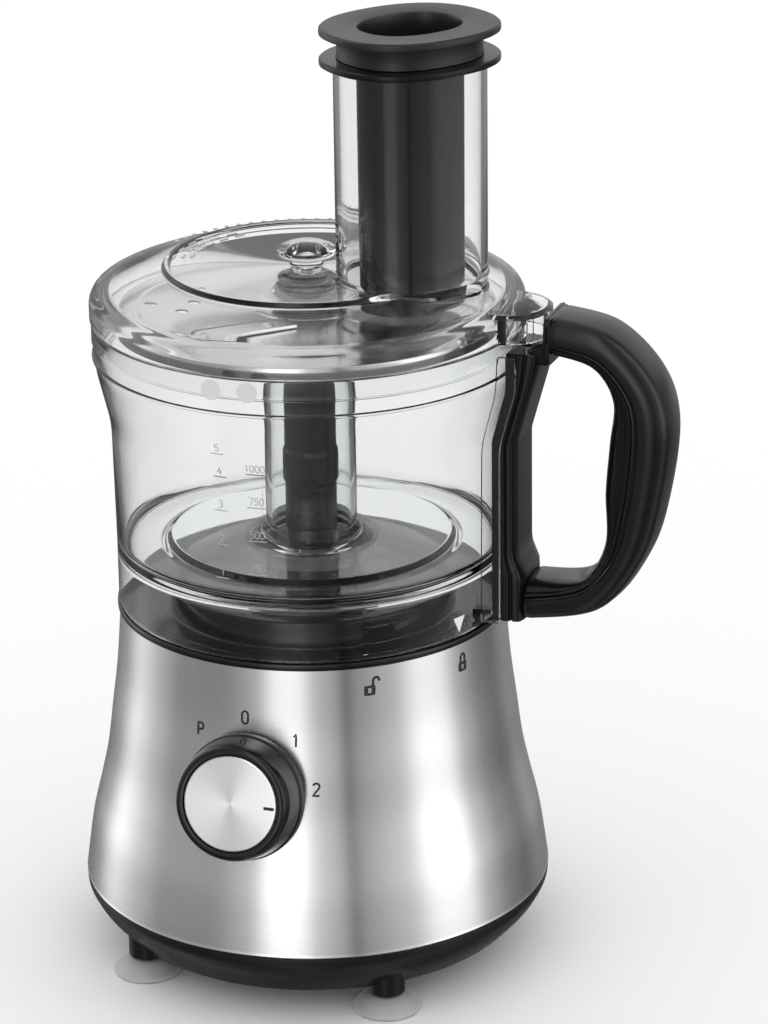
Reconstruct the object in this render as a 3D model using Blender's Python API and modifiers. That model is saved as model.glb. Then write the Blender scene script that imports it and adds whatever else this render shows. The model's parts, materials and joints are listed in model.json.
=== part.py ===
"""Compact food processor: a flared steel base with a belt-driven motor, a clear bowl with a loop handle,
a slicing disc on a stem, a clear lid with a feed tube, and a pusher.

Every length below is in millimetres, and MM turns it into Blender's metres. The drive axis is local x = y = 0,
+Z is up, the knob faces -Y, the handle points to +X, and z = 0 is the surface under the suction feet.
"""

import math

import bmesh
import bpy
from mathutils import Matrix, Vector

MM = 0.001
GAP = 0.3
TAU = 2.0 * math.pi

# Driving dimensions
BASE_RADIUS = 95.0
SHELL_BOTTOM = 31.0
SHELL_TOP = 146.0
SHELL_THICKNESS = 0.8
COLLAR_TOP = 149.0
DECK_FLOOR = 147.0
BOWL_BOTTOM = COLLAR_TOP + GAP
BOWL_FLOOR = 173.4
BOWL_RADIUS = 78.0
BOWL_RIM_RADIUS = 85.3
BOWL_RIM = 266.3
BOWL_WALL = 2.2
BOWL_TUBE_RADIUS = 18.2
LID_RADIUS = 85.8
LID_PLATEAU = 286.7
LID_THICKNESS = 2.3
FEED_TUBE_REACH = 43.7
FEED_TUBE_TOP = 371.0
FEED_TUBE_BOTTOM = 272.3
FEED_TUBE_TURN = math.radians(56.0)
OVERALL_HEIGHT = 386.0
HANDLE_REACH = 151.0
HANDLE_WIDTH = 28.0
DISC_RADIUS = 75.0
DISC_TOP = 269.0
KNOB_HEIGHT = 95.2
KNOB_REACH = 83.0
KNOB_TURN = math.radians(2.1)
KNOB_TILT = math.radians(13.0)
KNOB_DEPTH = 22.0
KNOB_RADIUS = 25.0
SPINDLE_RADIUS = 5.0
TOWER_RADIUS = 10.3
TOWER_TOP = 197.7
PEG_TOP = 222.0
MOTOR_OFFSET = 44.0
MOTOR_SHAFT_RADIUS = 3.0
DRIVE_PULLEY_RADIUS = 33.0
MOTOR_PULLEY_RADIUS = 6.0
PULLEY_LOW = 33.0
PULLEY_HIGH = 41.0
FOOT_X = 51.7
FOOT_Y = 61.0
GLAND_REACH = 110.0
GLAND_HEIGHT = 21.0
PLUNGER_X = 69.5
PLUNGER_TRAVEL = 2.0
PILLAR_X = 58.0
PILLAR_Y = 28.0
MOTOR_POST_X = 29.0
MOTOR_POST_Y = 18.0
DISC_TURN = math.radians(230.0)
DISC_HOLES = ((45.3, 190.0), (49.7, 209.0), (62.0, 199.0))
CORNERS = ((-1, -1), (1, -1), (1, 1), (-1, 1))
SEGMENTS = 32

# The row frame's origin is under the middle of the whole object, so the drive axis sits off to one side.
DRIVE_AXIS_X = (BASE_RADIUS - HANDLE_REACH) / 2.0

for old in list(bpy.data.objects):
    bpy.data.objects.remove(old, do_unlink=True)

PARTS = bpy.data.collections.new("food_processor")
CUTTERS = bpy.data.collections.new("cutters")
bpy.context.scene.collection.children.link(PARTS)
bpy.context.scene.collection.children.link(CUTTERS)


def frame_empty(name, location, parent=None, tilt=0.0, turn=0.0):
    """An empty that carries the parts of one axis; location is in millimetres."""
    empty = bpy.data.objects.new(name, None)
    PARTS.objects.link(empty)
    empty.parent = parent
    empty.location = Vector(location) * MM
    empty.rotation_euler = (tilt, 0.0, turn)
    return empty


DRIVE_AXIS = frame_empty("drive_axis", (DRIVE_AXIS_X, 0.0, 0.0))
MOTOR_AXIS = frame_empty("motor_axis", (0.0, MOTOR_OFFSET, 0.0), DRIVE_AXIS)
KNOB_AXIS = frame_empty(
    "knob_axis",
    (KNOB_REACH * math.sin(KNOB_TURN), -KNOB_REACH * math.cos(KNOB_TURN), KNOB_HEIGHT),
    DRIVE_AXIS,
    math.pi / 2.0 - KNOB_TILT,
    KNOB_TURN,
)
GLAND_AXIS = frame_empty(
    "gland_axis", (0.0, 0.0, GLAND_HEIGHT), DRIVE_AXIS, -math.pi / 2.0
)


def finish(name, colour, roughness, metallic=0.0, alpha=1.0):
    """A Principled material in one colour."""
    made = bpy.data.materials.new(name)
    made.use_nodes = True
    shader = made.node_tree.nodes["Principled BSDF"]
    shader.inputs["Base Color"].default_value = (*colour, 1.0)
    shader.inputs["Roughness"].default_value = roughness
    shader.inputs["Metallic"].default_value = metallic
    shader.inputs["Alpha"].default_value = alpha
    made.diffuse_color = (*colour, alpha)
    return made


STEEL = ("brushed_steel", (0.63, 0.62, 0.61), 0.32, 1.0)
ALUMINIUM = ("spun_aluminium", (0.78, 0.78, 0.79), 0.25, 1.0)
BLACK = ("black_plastic", (0.018, 0.018, 0.02), 0.28)
DARK_GREY = ("dark_grey_plastic", (0.045, 0.047, 0.05), 0.35)
CLEAR = ("clear_plastic", (0.93, 0.95, 0.96), 0.04, 0.0, 0.3)
SILICONE = ("silicone", (0.62, 0.64, 0.66), 0.4)
RUBBER = ("black_rubber", (0.02, 0.02, 0.02), 0.8)
LAMINATION = ("lamination_steel", (0.36, 0.36, 0.38), 0.45, 1.0)
COPPER = ("copper", (0.72, 0.38, 0.2), 0.35, 1.0)
CARBON = ("carbon", (0.05, 0.05, 0.05), 0.9)
BRONZE = ("bronze", (0.55, 0.38, 0.18), 0.4, 1.0)
BOARD_GREEN = ("circuit_board", (0.03, 0.16, 0.07), 0.5)


def add_object(name, data, look, parent=None):
    """Links one object; without a look it is a cutter or a shape that a Boolean takes in."""
    made = bpy.data.objects.new(name, data)
    made.parent = parent or DRIVE_AXIS
    if look is None:
        CUTTERS.objects.link(made)
        made.hide_render = True
        made.display_type = "WIRE"
        return made
    PARTS.objects.link(made)
    data.materials.append(finish(f"{name}_{look[0]}", *look[1:]))
    return made


def mesh_from(name, bm):
    """A smooth-shaded mesh with sharp creases kept."""
    mesh = bpy.data.meshes.new(name)
    bmesh.ops.recalc_face_normals(bm, faces=bm.faces)
    bm.to_mesh(mesh)
    bm.free()
    mesh.shade_smooth()
    mesh.set_sharp_from_angle(angle=math.radians(35.0))
    return mesh


def turned(name, profile, look=None, parent=None, steps=SEGMENTS):
    """A turned piece from (radius, height) points; a profile that leaves the axis is a closed loop."""
    on_axis = profile[0][0] == 0.0 and profile[-1][0] == 0.0
    ring = list(profile)
    area = sum(a[0] * b[1] - b[0] * a[1] for a, b in zip(ring, ring[1:] + ring[:1]))
    if area > 0.0:
        ring.reverse()
    mesh = bpy.data.meshes.new(name)
    points = [(r * MM, 0.0, z * MM) for r, z in ring]
    edges = [(i, i + 1) for i in range(len(ring) - 1)]
    if not on_axis:
        edges.append((len(ring) - 1, 0))
    mesh.from_pydata(points, edges, [])
    made = add_object(name, mesh, look, parent)
    screw = made.modifiers.new("turn", "SCREW")
    screw.axis = "Z"
    screw.steps = steps
    screw.render_steps = steps
    screw.use_merge_vertices = True
    screw.merge_threshold = 0.00001
    screw.use_smooth_shade = True
    return made


def block(name, low, high, look=None, parent=None):
    """A box between two corners."""
    bm = bmesh.new()
    bmesh.ops.create_cube(bm, size=1.0)
    size = [h - l for l, h in zip(low, high)]
    centre = [(h + l) / 2.0 for l, h in zip(low, high)]
    bmesh.ops.scale(bm, vec=Vector(size) * MM, verts=bm.verts)
    bmesh.ops.translate(bm, vec=Vector(centre) * MM, verts=bm.verts)
    return add_object(name, mesh_from(name, bm), look, parent)


def cylinder(name, radius, low, high, at=(0.0, 0.0), look=None, parent=None, sides=24):
    """An upright cylinder between two heights."""
    bm = bmesh.new()
    centre = Matrix.Translation(Vector((at[0], at[1], (low + high) / 2.0)) * MM)
    bmesh.ops.create_cone(
        bm,
        cap_ends=True,
        segments=sides,
        radius1=radius * MM,
        radius2=radius * MM,
        depth=(high - low) * MM,
        matrix=centre,
    )
    return add_object(name, mesh_from(name, bm), look, parent)


def plate(name, outline, low, high, look=None, parent=None, upright=False):
    """A flat outline of (x, y) points with its thickness between low and high.

    An upright plate has (x, z) points and its thickness runs along y.
    """
    curve = bpy.data.curves.new(name, "CURVE")
    curve.dimensions = "2D"
    curve.fill_mode = "BOTH"
    curve.extrude = (high - low) / 2.0 * MM
    spline = curve.splines.new("POLY")
    spline.points.add(len(outline) - 1)
    for point, (x, y) in zip(spline.points, outline):
        point.co = (x * MM, y * MM, 0.0, 1.0)
    spline.use_cyclic_u = True
    flat = bpy.data.objects.new(name + "_outline", curve)
    CUTTERS.objects.link(flat)
    bpy.context.view_layer.update()
    seen = flat.evaluated_get(bpy.context.evaluated_depsgraph_get())
    mesh = bpy.data.meshes.new_from_object(seen)
    bpy.data.objects.remove(flat, do_unlink=True)
    bm = bmesh.new()
    bm.from_mesh(mesh)
    bmesh.ops.remove_doubles(bm, verts=bm.verts, dist=0.000001)
    middle = (high + low) / 2.0 * MM
    if upright:
        bm.transform(Matrix.Translation((0.0, middle, 0.0)) @ Matrix.Rotation(math.pi / 2.0, 4, "X"))
    else:
        bm.transform(Matrix.Translation((0.0, 0.0, middle)))
    return add_object(name, mesh_from(name, bm), look, parent)


def combine(target, other, operation):
    """One exact Boolean of the target with a cutter or an added shape."""
    step = target.modifiers.new(other.name, "BOOLEAN")
    step.operation = operation
    step.solver = "EXACT"
    step.object = other


def cut(target, *others):
    for other in others:
        combine(target, other, "DIFFERENCE")


def join(target, *others):
    for other in others:
        combine(target, other, "UNION")


def round_edges(target, width, segments=2, angle=40.0):
    """Rounded edges on a flat-sided piece."""
    bevel = target.modifiers.new("rounded_edges", "BEVEL")
    bevel.width = width * MM
    bevel.segments = segments
    bevel.limit_method = "ANGLE"
    bevel.angle_limit = math.radians(angle)


def smooth_path(points, between=2):
    """A Catmull-Rom line through the points, with a few more between each pair."""
    found = []
    for i in range(len(points) - 1):
        p0 = Vector(points[max(i - 1, 0)])
        p1 = Vector(points[i])
        p2 = Vector(points[i + 1])
        p3 = Vector(points[min(i + 2, len(points) - 1)])
        for k in range(between):
            t = k / between
            bend = (p2 - p0) * t + (2 * p0 - 5 * p1 + 4 * p2 - p3) * t**2
            found.append(p1 + 0.5 * (bend + (3 * p1 - p0 - 3 * p2 + p3) * t**3))
    found.append(Vector(points[-1]))
    return found


def shifted(path, distance):
    """The same line moved sideways, to the left of its direction."""
    moved = []
    for i, point in enumerate(path):
        along = (path[min(i + 1, len(path) - 1)] - path[max(i - 1, 0)]).normalized()
        moved.append(point + Vector((-along.y, along.x)) * distance)
    return moved


def oval(half_long, half_short, count=28):
    """The feed tube's slightly squared oval, about the tube's own centre."""
    squareness = 2.0 / 2.3
    points = []
    for i in range(count):
        angle = TAU * i / count
        c = math.cos(angle)
        s = math.sin(angle)
        a = half_long * math.copysign(abs(c) ** squareness, c)
        b = half_short * math.copysign(abs(s) ** squareness, s)
        x = FEED_TUBE_REACH + a * math.cos(FEED_TUBE_TURN) - b * math.sin(FEED_TUBE_TURN)
        y = a * math.sin(FEED_TUBE_TURN) + b * math.cos(FEED_TUBE_TURN)
        points.append((x, y))
    return points


# Base housing


def build_base_shell():
    """Flared steel shell, open above and below, with a hole for the switch shaft."""
    flare = [
        (BASE_RADIUS, SHELL_BOTTOM),
        (93.6, 41.5),
        (91.3, 55.7),
        (87.8, 70.0),
        (84.6, 84.7),
        (82.1, 103.0),
        (79.6, 122.0),
        (77.6, SHELL_TOP),
    ]
    inside = [(r - SHELL_THICKNESS, z) for r, z in reversed(flare)]
    shell = turned("base_shell", flare + inside, STEEL)
    cut(shell, cylinder("shell_shaft_hole", 4.5, -12.0, 12.0, parent=KNOB_AXIS))


def build_bottom_tray():
    """Black tray under the shell, with foot posts, motor posts and the spindle's lower boss."""
    dish = [
        (0.0, 12.4),
        (78.0, 12.4),
        (90.0, 26.5),
        (90.0, 34.5),
        (92.0, 34.5),
        (92.6, SHELL_BOTTOM - GAP),
        (94.9, SHELL_BOTTOM - GAP),
        (94.9, 27.0),
        (81.5, 10.0),
        (0.0, 10.0),
    ]
    tray = turned("bottom_tray", dish, BLACK)
    for i, (sx, sy) in enumerate(CORNERS):
        join(tray, cylinder(f"foot_post_{i}", 7.3, 6.5, 21.0, (sx * FOOT_X, sy * FOOT_Y)))
        post = (sx * MOTOR_POST_X, MOTOR_OFFSET + sy * MOTOR_POST_Y)
        join(tray, cylinder(f"motor_post_{i}", 3.5, 11.5, 54.2, post, sides=12))
    join(tray, cylinder("lower_boss", 10.0, 11.5, 28.0))
    cut(tray, cylinder("lower_boss_bore", 7.2, 14.5, 30.0))
    for i, (sx, sy) in enumerate(CORNERS):
        cut(tray, cylinder(f"foot_socket_{i}", 3.9, 5.0, 13.0, (sx * FOOT_X, sy * FOOT_Y), sides=12))
        cut(tray, cylinder(f"tray_screw_hole_{i}", 2.0, 8.0, 14.0, (sx * PILLAR_X, sy * PILLAR_Y), sides=12))
    cut(tray, cylinder("gland_hole", 6.0, 70.0, 100.0, parent=GLAND_AXIS))


def build_feet():
    """Four silicone suction cups with flat lips, each on its own plug."""
    cup = [
        (0.0, 12.6),
        (3.5, 12.6),
        (3.5, 6.2),
        (7.0, 6.0),
        (10.0, 4.4),
        (13.5, 1.4),
        (13.5, 0.0),
        (10.5, 0.0),
        (8.0, 2.4),
        (0.0, 3.6),
    ]
    for i, (sx, sy) in enumerate(CORNERS):
        foot = turned(f"suction_foot_{i + 1}", cup, SILICONE, steps=16)
        foot.location = Vector((sx * FOOT_X, sy * FOOT_Y, 0.0)) * MM


def build_tray_screws():
    """Pan-head screws from below, through the tray into the deck's pillars."""
    screw = [(0.0, 22.0), (1.5, 22.0), (1.5, 9.7), (3.2, 9.7), (3.2, 8.9), (2.4, 8.0), (0.0, 8.0)]
    for i, (sx, sy) in enumerate(CORNERS):
        made = turned(f"tray_screw_{i + 1}", screw, STEEL, steps=8)
        made.location = Vector((sx * PILLAR_X, sy * PILLAR_Y, 0.0)) * MM


def build_top_deck():
    """Black deck with the collar, the raised turret, the central boss and four pillars."""
    section = [
        (8.3, 170.0),
        (19.5, 170.0),
        (20.5, 158.0),
        (55.5, 158.0),
        (56.5, DECK_FLOOR),
        (76.3, DECK_FLOOR),
        (76.5, COLLAR_TOP),
        (78.5, COLLAR_TOP),
        (78.5, SHELL_TOP + GAP),
        (76.2, SHELL_TOP + GAP),
        (76.2, 138.0),
        (74.2, 138.0),
        (74.2, 144.5),
        (54.0, 144.5),
        (53.0, 155.6),
        (17.0, 155.6),
        (16.0, 150.0),
        (8.3, 150.0),
    ]
    deck = turned("top_deck", section, BLACK)
    for i, (sx, sy) in enumerate(CORNERS):
        join(deck, cylinder(f"deck_pillar_{i}", 4.0, 13.0, 146.0, (sx * PILLAR_X, sy * PILLAR_Y), sides=12))
        cut(deck, cylinder(f"pillar_bore_{i}", 1.9, 12.0, 24.0, (sx * PILLAR_X, sy * PILLAR_Y), sides=12))
    cut(deck, cylinder("plunger_hole", 2.6, 140.0, 150.0, (PLUNGER_X, 0.0), sides=12))


def build_gland():
    """Rubber gland at the back, where a mains lead would enter."""
    section = [
        (3.4, 84.0),
        (3.4, GLAND_REACH),
        (4.6, GLAND_REACH),
        (6.5, 98.0),
        (8.5, 98.0),
        (8.5, 95.6),
        (5.6, 95.6),
        (5.6, 84.0),
    ]
    turned("cord_gland", section, RUBBER, GLAND_AXIS, steps=16)


# Drive


def build_spindle():
    """Steel spindle with its belt pulley below and the coupling tower above."""
    cylinder("spindle_shaft", SPINDLE_RADIUS, 16.0, 195.0, look=STEEL)
    pulley = [
        (SPINDLE_RADIUS + GAP, 43.0),
        (9.0, 43.0),
        (9.0, 38.5),
        (28.0, 38.5),
        (28.0, 42.0),
        (DRIVE_PULLEY_RADIUS + 1.5, 42.0),
        (DRIVE_PULLEY_RADIUS + 1.5, PULLEY_HIGH),
        (DRIVE_PULLEY_RADIUS, PULLEY_HIGH),
        (DRIVE_PULLEY_RADIUS, PULLEY_LOW),
        (DRIVE_PULLEY_RADIUS + 1.5, PULLEY_LOW),
        (DRIVE_PULLEY_RADIUS + 1.5, 32.0),
        (28.0, 32.0),
        (28.0, 35.5),
        (9.0, 35.5),
        (9.0, 31.0),
        (SPINDLE_RADIUS + GAP, 31.0),
    ]
    turned("drive_pulley", pulley, DARK_GREY, steps=24)
    tower = cylinder("drive_coupling", TOWER_RADIUS, 170.8, TOWER_TOP, look=BLACK)
    join(tower, cylinder("hex_peg", 7.6, TOWER_TOP - 3.0, PEG_TOP, sides=6))
    cut(tower, cylinder("tower_bore", SPINDLE_RADIUS + GAP, 168.0, 196.0))
    bore = SPINDLE_RADIUS + 0.25
    for name, radius, low, high in (("upper_bush", 8.0, 151.0, 169.6), ("lower_bush", 6.9, 16.0, 27.8)):
        turned(name, [(bore, low), (radius, low), (radius, high), (bore, high)], BRONZE, steps=24)


def build_belt():
    """Flat belt round both pulleys, joined by its two outer tangents."""
    centres = (Vector((0.0, 0.0)), Vector((0.0, MOTOR_OFFSET)))
    lean = math.asin((DRIVE_PULLEY_RADIUS - MOTOR_PULLEY_RADIUS) / MOTOR_OFFSET)

    def loop(extra):
        big = DRIVE_PULLEY_RADIUS + extra
        small = MOTOR_PULLEY_RADIUS + extra
        points = []
        for i in range(25):
            angle = math.pi - lean + (math.pi + 2.0 * lean) * i / 24
            points.append(centres[0] + big * Vector((math.cos(angle), math.sin(angle))))
        for i in range(9):
            angle = lean + (math.pi - 2.0 * lean) * i / 8
            points.append(centres[1] + small * Vector((math.cos(angle), math.sin(angle))))
        return [tuple(p) for p in points]

    belt = plate("drive_belt", loop(GAP + 1.4), PULLEY_LOW + GAP, PULLEY_HIGH - GAP, RUBBER)
    cut(belt, plate("belt_inside", loop(GAP), PULLEY_LOW - 2.0, PULLEY_HIGH + 2.0))


def build_motor():
    """Upright brushed motor behind the spindle: stator, two coils, rotor, commutator, fan and brackets."""
    at = MOTOR_AXIS
    core = block("stator_core", (-28.0, -25.0, 62.0), (28.0, 25.0, 92.0), LAMINATION, at)
    cut(core, cylinder("stator_bore", 17.0, 60.0, 94.0, parent=at, sides=32))
    for side, name in ((-1, "left"), (1, "right")):
        for leg in (-1, 1):
            low = (min(side * 19.2, side * 25.8), min(leg * 11.7, leg * 18.3), 60.0)
            high = (max(side * 19.2, side * 25.8), max(leg * 11.7, leg * 18.3), 94.0)
            cut(core, block(f"coil_window_{name}_{leg + 1}", low, high, parent=at))
        near = min(side * 20.0, side * 25.0)
        far = max(side * 20.0, side * 25.0)
        coil = block(f"field_coil_{name}", (near, -18.0, 57.8), (far, 18.0, 96.4), COPPER, at)
        cut(coil, block(f"coil_inside_{name}", (near - 2.0, -12.0, 61.7), (far + 2.0, 12.0, 92.3), parent=at))
        brush_low = min(side * 9.4, side * 23.4)
        brush_high = max(side * 9.4, side * 23.4)
        block(f"carbon_brush_{name}", (brush_low, -2.5, 102.0), (brush_high, 2.5, 107.0), CARBON, at)
    cylinder("rotor_core", 16.0, 62.5, 91.5, look=LAMINATION, parent=at, sides=32)
    cut(bpy.data.objects["rotor_core"], cylinder("rotor_bore", MOTOR_SHAFT_RADIUS + GAP, 60.0, 94.0, parent=at))
    cylinder("motor_shaft", MOTOR_SHAFT_RADIUS, 30.0, 118.0, look=STEEL, parent=at, sides=16)
    inner = MOTOR_SHAFT_RADIUS + GAP
    turned("commutator", [(inner, 98.0), (9.0, 98.0), (9.0, 110.0), (inner, 110.0)], COPPER, at, 24)
    pulley = [
        (inner, 42.0),
        (MOTOR_PULLEY_RADIUS + 1.5, 42.0),
        (MOTOR_PULLEY_RADIUS + 1.5, PULLEY_HIGH),
        (MOTOR_PULLEY_RADIUS, PULLEY_HIGH),
        (MOTOR_PULLEY_RADIUS, PULLEY_LOW),
        (MOTOR_PULLEY_RADIUS + 1.5, PULLEY_LOW),
        (MOTOR_PULLEY_RADIUS + 1.5, 32.0),
        (inner, 32.0),
    ]
    turned("motor_pulley", pulley, DARK_GREY, at, 16)
    blades = []
    for i in range(8):
        middle = TAU * i / 8
        for radius, step in ((7.0, -0.3), (20.0, -0.06), (20.0, 0.06), (7.0, 0.14)):
            blades.append((radius * math.cos(middle + step), radius * math.sin(middle + step)))
    fan = plate("cooling_fan", blades, 44.5, 52.0, DARK_GREY, at)
    cut(fan, cylinder("fan_bore", inner, 43.0, 54.0, parent=at, sides=16))
    lower = block("motor_bracket_lower", (-33.0, -24.0, 54.6), (33.0, 24.0, 57.4), STEEL, at)
    cut(lower, cylinder("lower_bracket_bore", inner, 53.0, 59.0, parent=at, sides=16))
    upper = block("motor_bracket_upper", (-28.0, -10.0, 113.0), (28.0, 10.0, 115.6), STEEL, at)
    for side in (-1, 1):
        low = min(side * 25.4, side * 28.0)
        high = max(side * 25.4, side * 28.0)
        join(upper, block(f"bracket_leg_{side + 1}", (low, -10.0, 92.4), (high, 10.0, 114.0), parent=at))
    cut(upper, cylinder("upper_bracket_bore", inner, 111.0, 117.0, parent=at, sides=16))


def build_controls():
    """Rotary switch, its knob and shaft, and the control board."""
    at = KNOB_AXIS
    block("rotary_switch", (-13.0, -13.0, -20.0), (13.0, 13.0, -4.2), DARK_GREY, at)
    cylinder("switch_shaft", 3.0, -3.8, 15.0, look=STEEL, parent=at, sides=16)
    body = [
        (0.0, 19.0),
        (19.2, 19.0),
        (19.2, KNOB_DEPTH),
        (21.9, KNOB_DEPTH),
        (22.9, KNOB_DEPTH - 1.0),
        (KNOB_RADIUS, 4.0),
        (23.0, 4.0),
        (21.4, 16.4),
        (7.0, 16.4),
        (7.0, 4.5),
        (3.4, 4.5),
        (3.4, 15.4),
        (0.0, 15.4),
    ]
    turned("knob_body", body, BLACK, at, 24)
    cap = [(0.0, 21.8), (17.6, 21.8), (18.9, 21.2), (18.9, 19.3), (0.0, 19.3)]
    turned("knob_cap", cap, ALUMINIUM, at, 24)
    board = block("control_board", (-54.0, -47.0, 42.0), (-22.0, -45.4, 84.0), BOARD_GREEN)
    join(board, block("board_capacitor", (-48.0, -46.0, 50.0), (-34.0, -36.0, 72.0)))


def build_interlock():
    """Microswitch, its bracket, and the sprung plunger that the handle's rod presses."""
    bracket = block("switch_bracket", (58.4, -6.0, 118.0), (59.7, 6.0, 144.2), STEEL)
    join(bracket, block("bracket_shelf", (59.0, -6.0, 133.1), (73.8, 6.0, 134.3)))
    cut(bracket, cylinder("shelf_hole", 2.6, 131.0, 136.0, (PLUNGER_X, 0.0), sides=12))
    block("microswitch", (60.1, -5.0, 118.0), (74.0, 5.0, 132.4), DARK_GREY)
    plunger = [
        (0.0, DECK_FLOOR + 0.4),
        (2.0, DECK_FLOOR + 0.4),
        (2.0, 141.5),
        (4.2, 141.5),
        (4.2, 140.5),
        (2.0, 140.5),
        (2.0, 133.0),
        (0.0, 133.0),
    ]
    pin = turned("interlock_plunger", plunger, DARK_GREY, steps=12)
    pin.location = Vector((PLUNGER_X, 0.0, 0.0)) * MM
    build_plunger_spring()


def build_plunger_spring():
    """Small helical spring under the plunger's flange."""
    curve = bpy.data.curves.new("plunger_spring", "CURVE")
    curve.dimensions = "3D"
    curve.bevel_depth = 0.35 * MM
    curve.bevel_resolution = 1
    curve.use_fill_caps = True
    turns = 3
    per_turn = 10
    low = 135.0
    high = 139.8
    spline = curve.splines.new("POLY")
    spline.points.add(turns * per_turn)
    for i, point in enumerate(spline.points):
        angle = TAU * i / per_turn
        height = low + (high - low) * i / (turns * per_turn)
        point.co = (3.2 * math.cos(angle) * MM, 3.2 * math.sin(angle) * MM, height * MM, 1.0)
    spring = add_object("plunger_spring", curve, STEEL)
    spring.location = Vector((PLUNGER_X, 0.0, 0.0)) * MM


# Bowl and handle


def build_bowl():
    """Clear bowl: skirt, floor, flared rim and the two flanges that hold the handle, and its central tube."""
    section = [
        (BOWL_RIM_RADIUS, BOWL_RIM),
        (BOWL_RIM_RADIUS, 262.0),
        (84.0, 246.0),
        (78.7, 225.0),
        (BOWL_RADIUS, BOWL_BOTTOM),
        (BOWL_RADIUS - BOWL_WALL, BOWL_BOTTOM),
        (BOWL_RADIUS - BOWL_WALL, BOWL_FLOOR - 2.3),
        (20.8, BOWL_FLOOR - 2.3),
        (20.8, 175.5),
        (26.0, 174.2),
        (56.0, 175.4),
        (59.0, BOWL_FLOOR),
        (73.4, BOWL_FLOOR),
        (75.8, 176.5),
        (76.4, 225.0),
        (81.6, 246.0),
        (82.6, 252.0),
        (83.0, BOWL_RIM),
    ]
    bowl = turned("bowl", section, CLEAR)
    tube = [
        (16.0, BOWL_FLOOR - 2.3),
        (16.0, 262.0),
        (BOWL_TUBE_RADIUS, 262.0),
        (BOWL_TUBE_RADIUS, 179.0),
        (20.5, 175.6),
        (20.5, BOWL_FLOOR - 2.3),
    ]
    turned("bowl_tube", tube, CLEAR)
    flange = [
        (75.2, 151.6),
        (75.9, 225.0),
        (81.3, 246.5),
        (82.2, 261.5),
        (91.0, 261.5),
        (91.0, 248.0),
        (84.5, 225.0),
        (84.5, 151.6),
    ]
    for side, name in ((-1, "front"), (1, "back")):
        low = min(side * 15.2, side * 17.2)
        high = max(side * 15.2, side * 17.2)
        join(bowl, plate(f"handle_flange_{name}", flange, low, high, upright=True))
    cut(bowl, block("skirt_notch", (72.0, -3.6, 148.0), (80.0, 3.6, 154.8)))


def build_handle():
    """Stem that hugs the bowl, and a loop grip split into an outer cover and an inner liner."""
    stem_outline = [
        (80.6, 151.3),
        (80.6, 226.0),
        (86.2, 247.0),
        (86.2, 262.6),
        (100.9, 262.6),
        (100.9, 277.5),
        (103.2, 277.5),
        (103.2, 258.6),
        (99.2, 257.0),
        (90.8, 225.0),
        (90.8, 170.0),
        (93.0, 168.5),
        (93.0, 151.3),
    ]
    half = HANDLE_WIDTH / 2.0
    stem = plate("handle_stem", stem_outline, -half, half, BLACK, upright=True)
    channel = [
        (83.2, 148.0),
        (83.2, 226.7),
        (89.6, 247.6),
        (89.6, 268.0),
        (94.0, 268.0),
        (94.0, 246.6),
        (87.4, 225.4),
        (87.4, 148.0),
    ]
    cut(stem, plate("rod_channel", channel, -3.1, 3.1, upright=True))
    cut(stem, block("rod_toe_slot", (78.0, -3.1, 148.0), (84.0, 3.1, 155.5)))
    outer = smooth_path(
        [
            (103.6, 278.0),
            (126.0, 273.5),
            (144.0, 257.0),
            (HANDLE_REACH, 236.0),
            (147.6, 205.0),
            (140.0, 180.0),
            (123.0, 158.5),
            (93.4, 151.2),
        ]
    )
    seam = smooth_path(
        [
            (103.6, 266.5),
            (122.0, 262.5),
            (134.5, 249.0),
            (137.5, 233.0),
            (135.0, 205.0),
            (128.5, 181.0),
            (116.0, 167.5),
            (93.4, 161.5),
        ]
    )
    inner = smooth_path(
        [
            (103.6, 261.5),
            (119.5, 257.5),
            (127.0, 245.0),
            (125.5, 227.5),
            (124.0, 208.0),
            (124.5, 186.5),
            (115.0, 171.0),
            (93.4, 168.5),
        ]
    )
    cover_outline = [tuple(p) for p in outer + shifted(seam, 0.2)[::-1]]
    liner_outline = [tuple(p) for p in shifted(seam, -0.2) + inner[::-1]]
    cover = plate("handle_grip", cover_outline, -half, half, BLACK, upright=True)
    liner = plate("handle_liner", liner_outline, 1.5 - half, half - 1.5, BLACK, upright=True)
    round_edges(cover, 4.0)
    round_edges(liner, 2.2)
    for i, x in enumerate((99.0, 111.0)):
        base = 151.6 + 1.6 * i
        cut(cover, cylinder(f"screw_pocket_{i}", 3.4, 140.0, base + 2.2, (x, 0.0), sides=12))
        cut(cover, cylinder(f"screw_way_{i}", 1.9, 140.0, base + 14.0, (x, 0.0), sides=12))
        cut(liner, cylinder(f"screw_thread_{i}", 1.9, 150.0, base + 14.0, (x, 0.0), sides=12))
        screw = [
            (0.0, base + 13.0),
            (1.5, base + 13.0),
            (1.5, base + 1.9),
            (3.0, base + 1.9),
            (3.0, base + 0.4),
            (0.0, base + 0.4),
        ]
        made = turned(f"handle_screw_{i + 1}", screw, STEEL, steps=12)
        made.location = Vector((x, 0.0, 0.0)) * MM


def build_interlock_rod():
    """Long slider inside the handle's stem, with a toe that reaches in over the plunger."""
    outline = [
        (67.5, 147.7),
        (67.5, 151.4),
        (84.0, 151.4),
        (84.0, 226.5),
        (90.5, 247.4),
        (90.5, 262.9),
        (92.9, 262.9),
        (92.9, 247.0),
        (86.4, 225.9),
        (86.4, 149.5),
        (71.5, 149.5),
        (71.5, 147.7),
    ]
    plate("interlock_rod", outline, -2.5, 2.5, DARK_GREY, upright=True)


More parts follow.
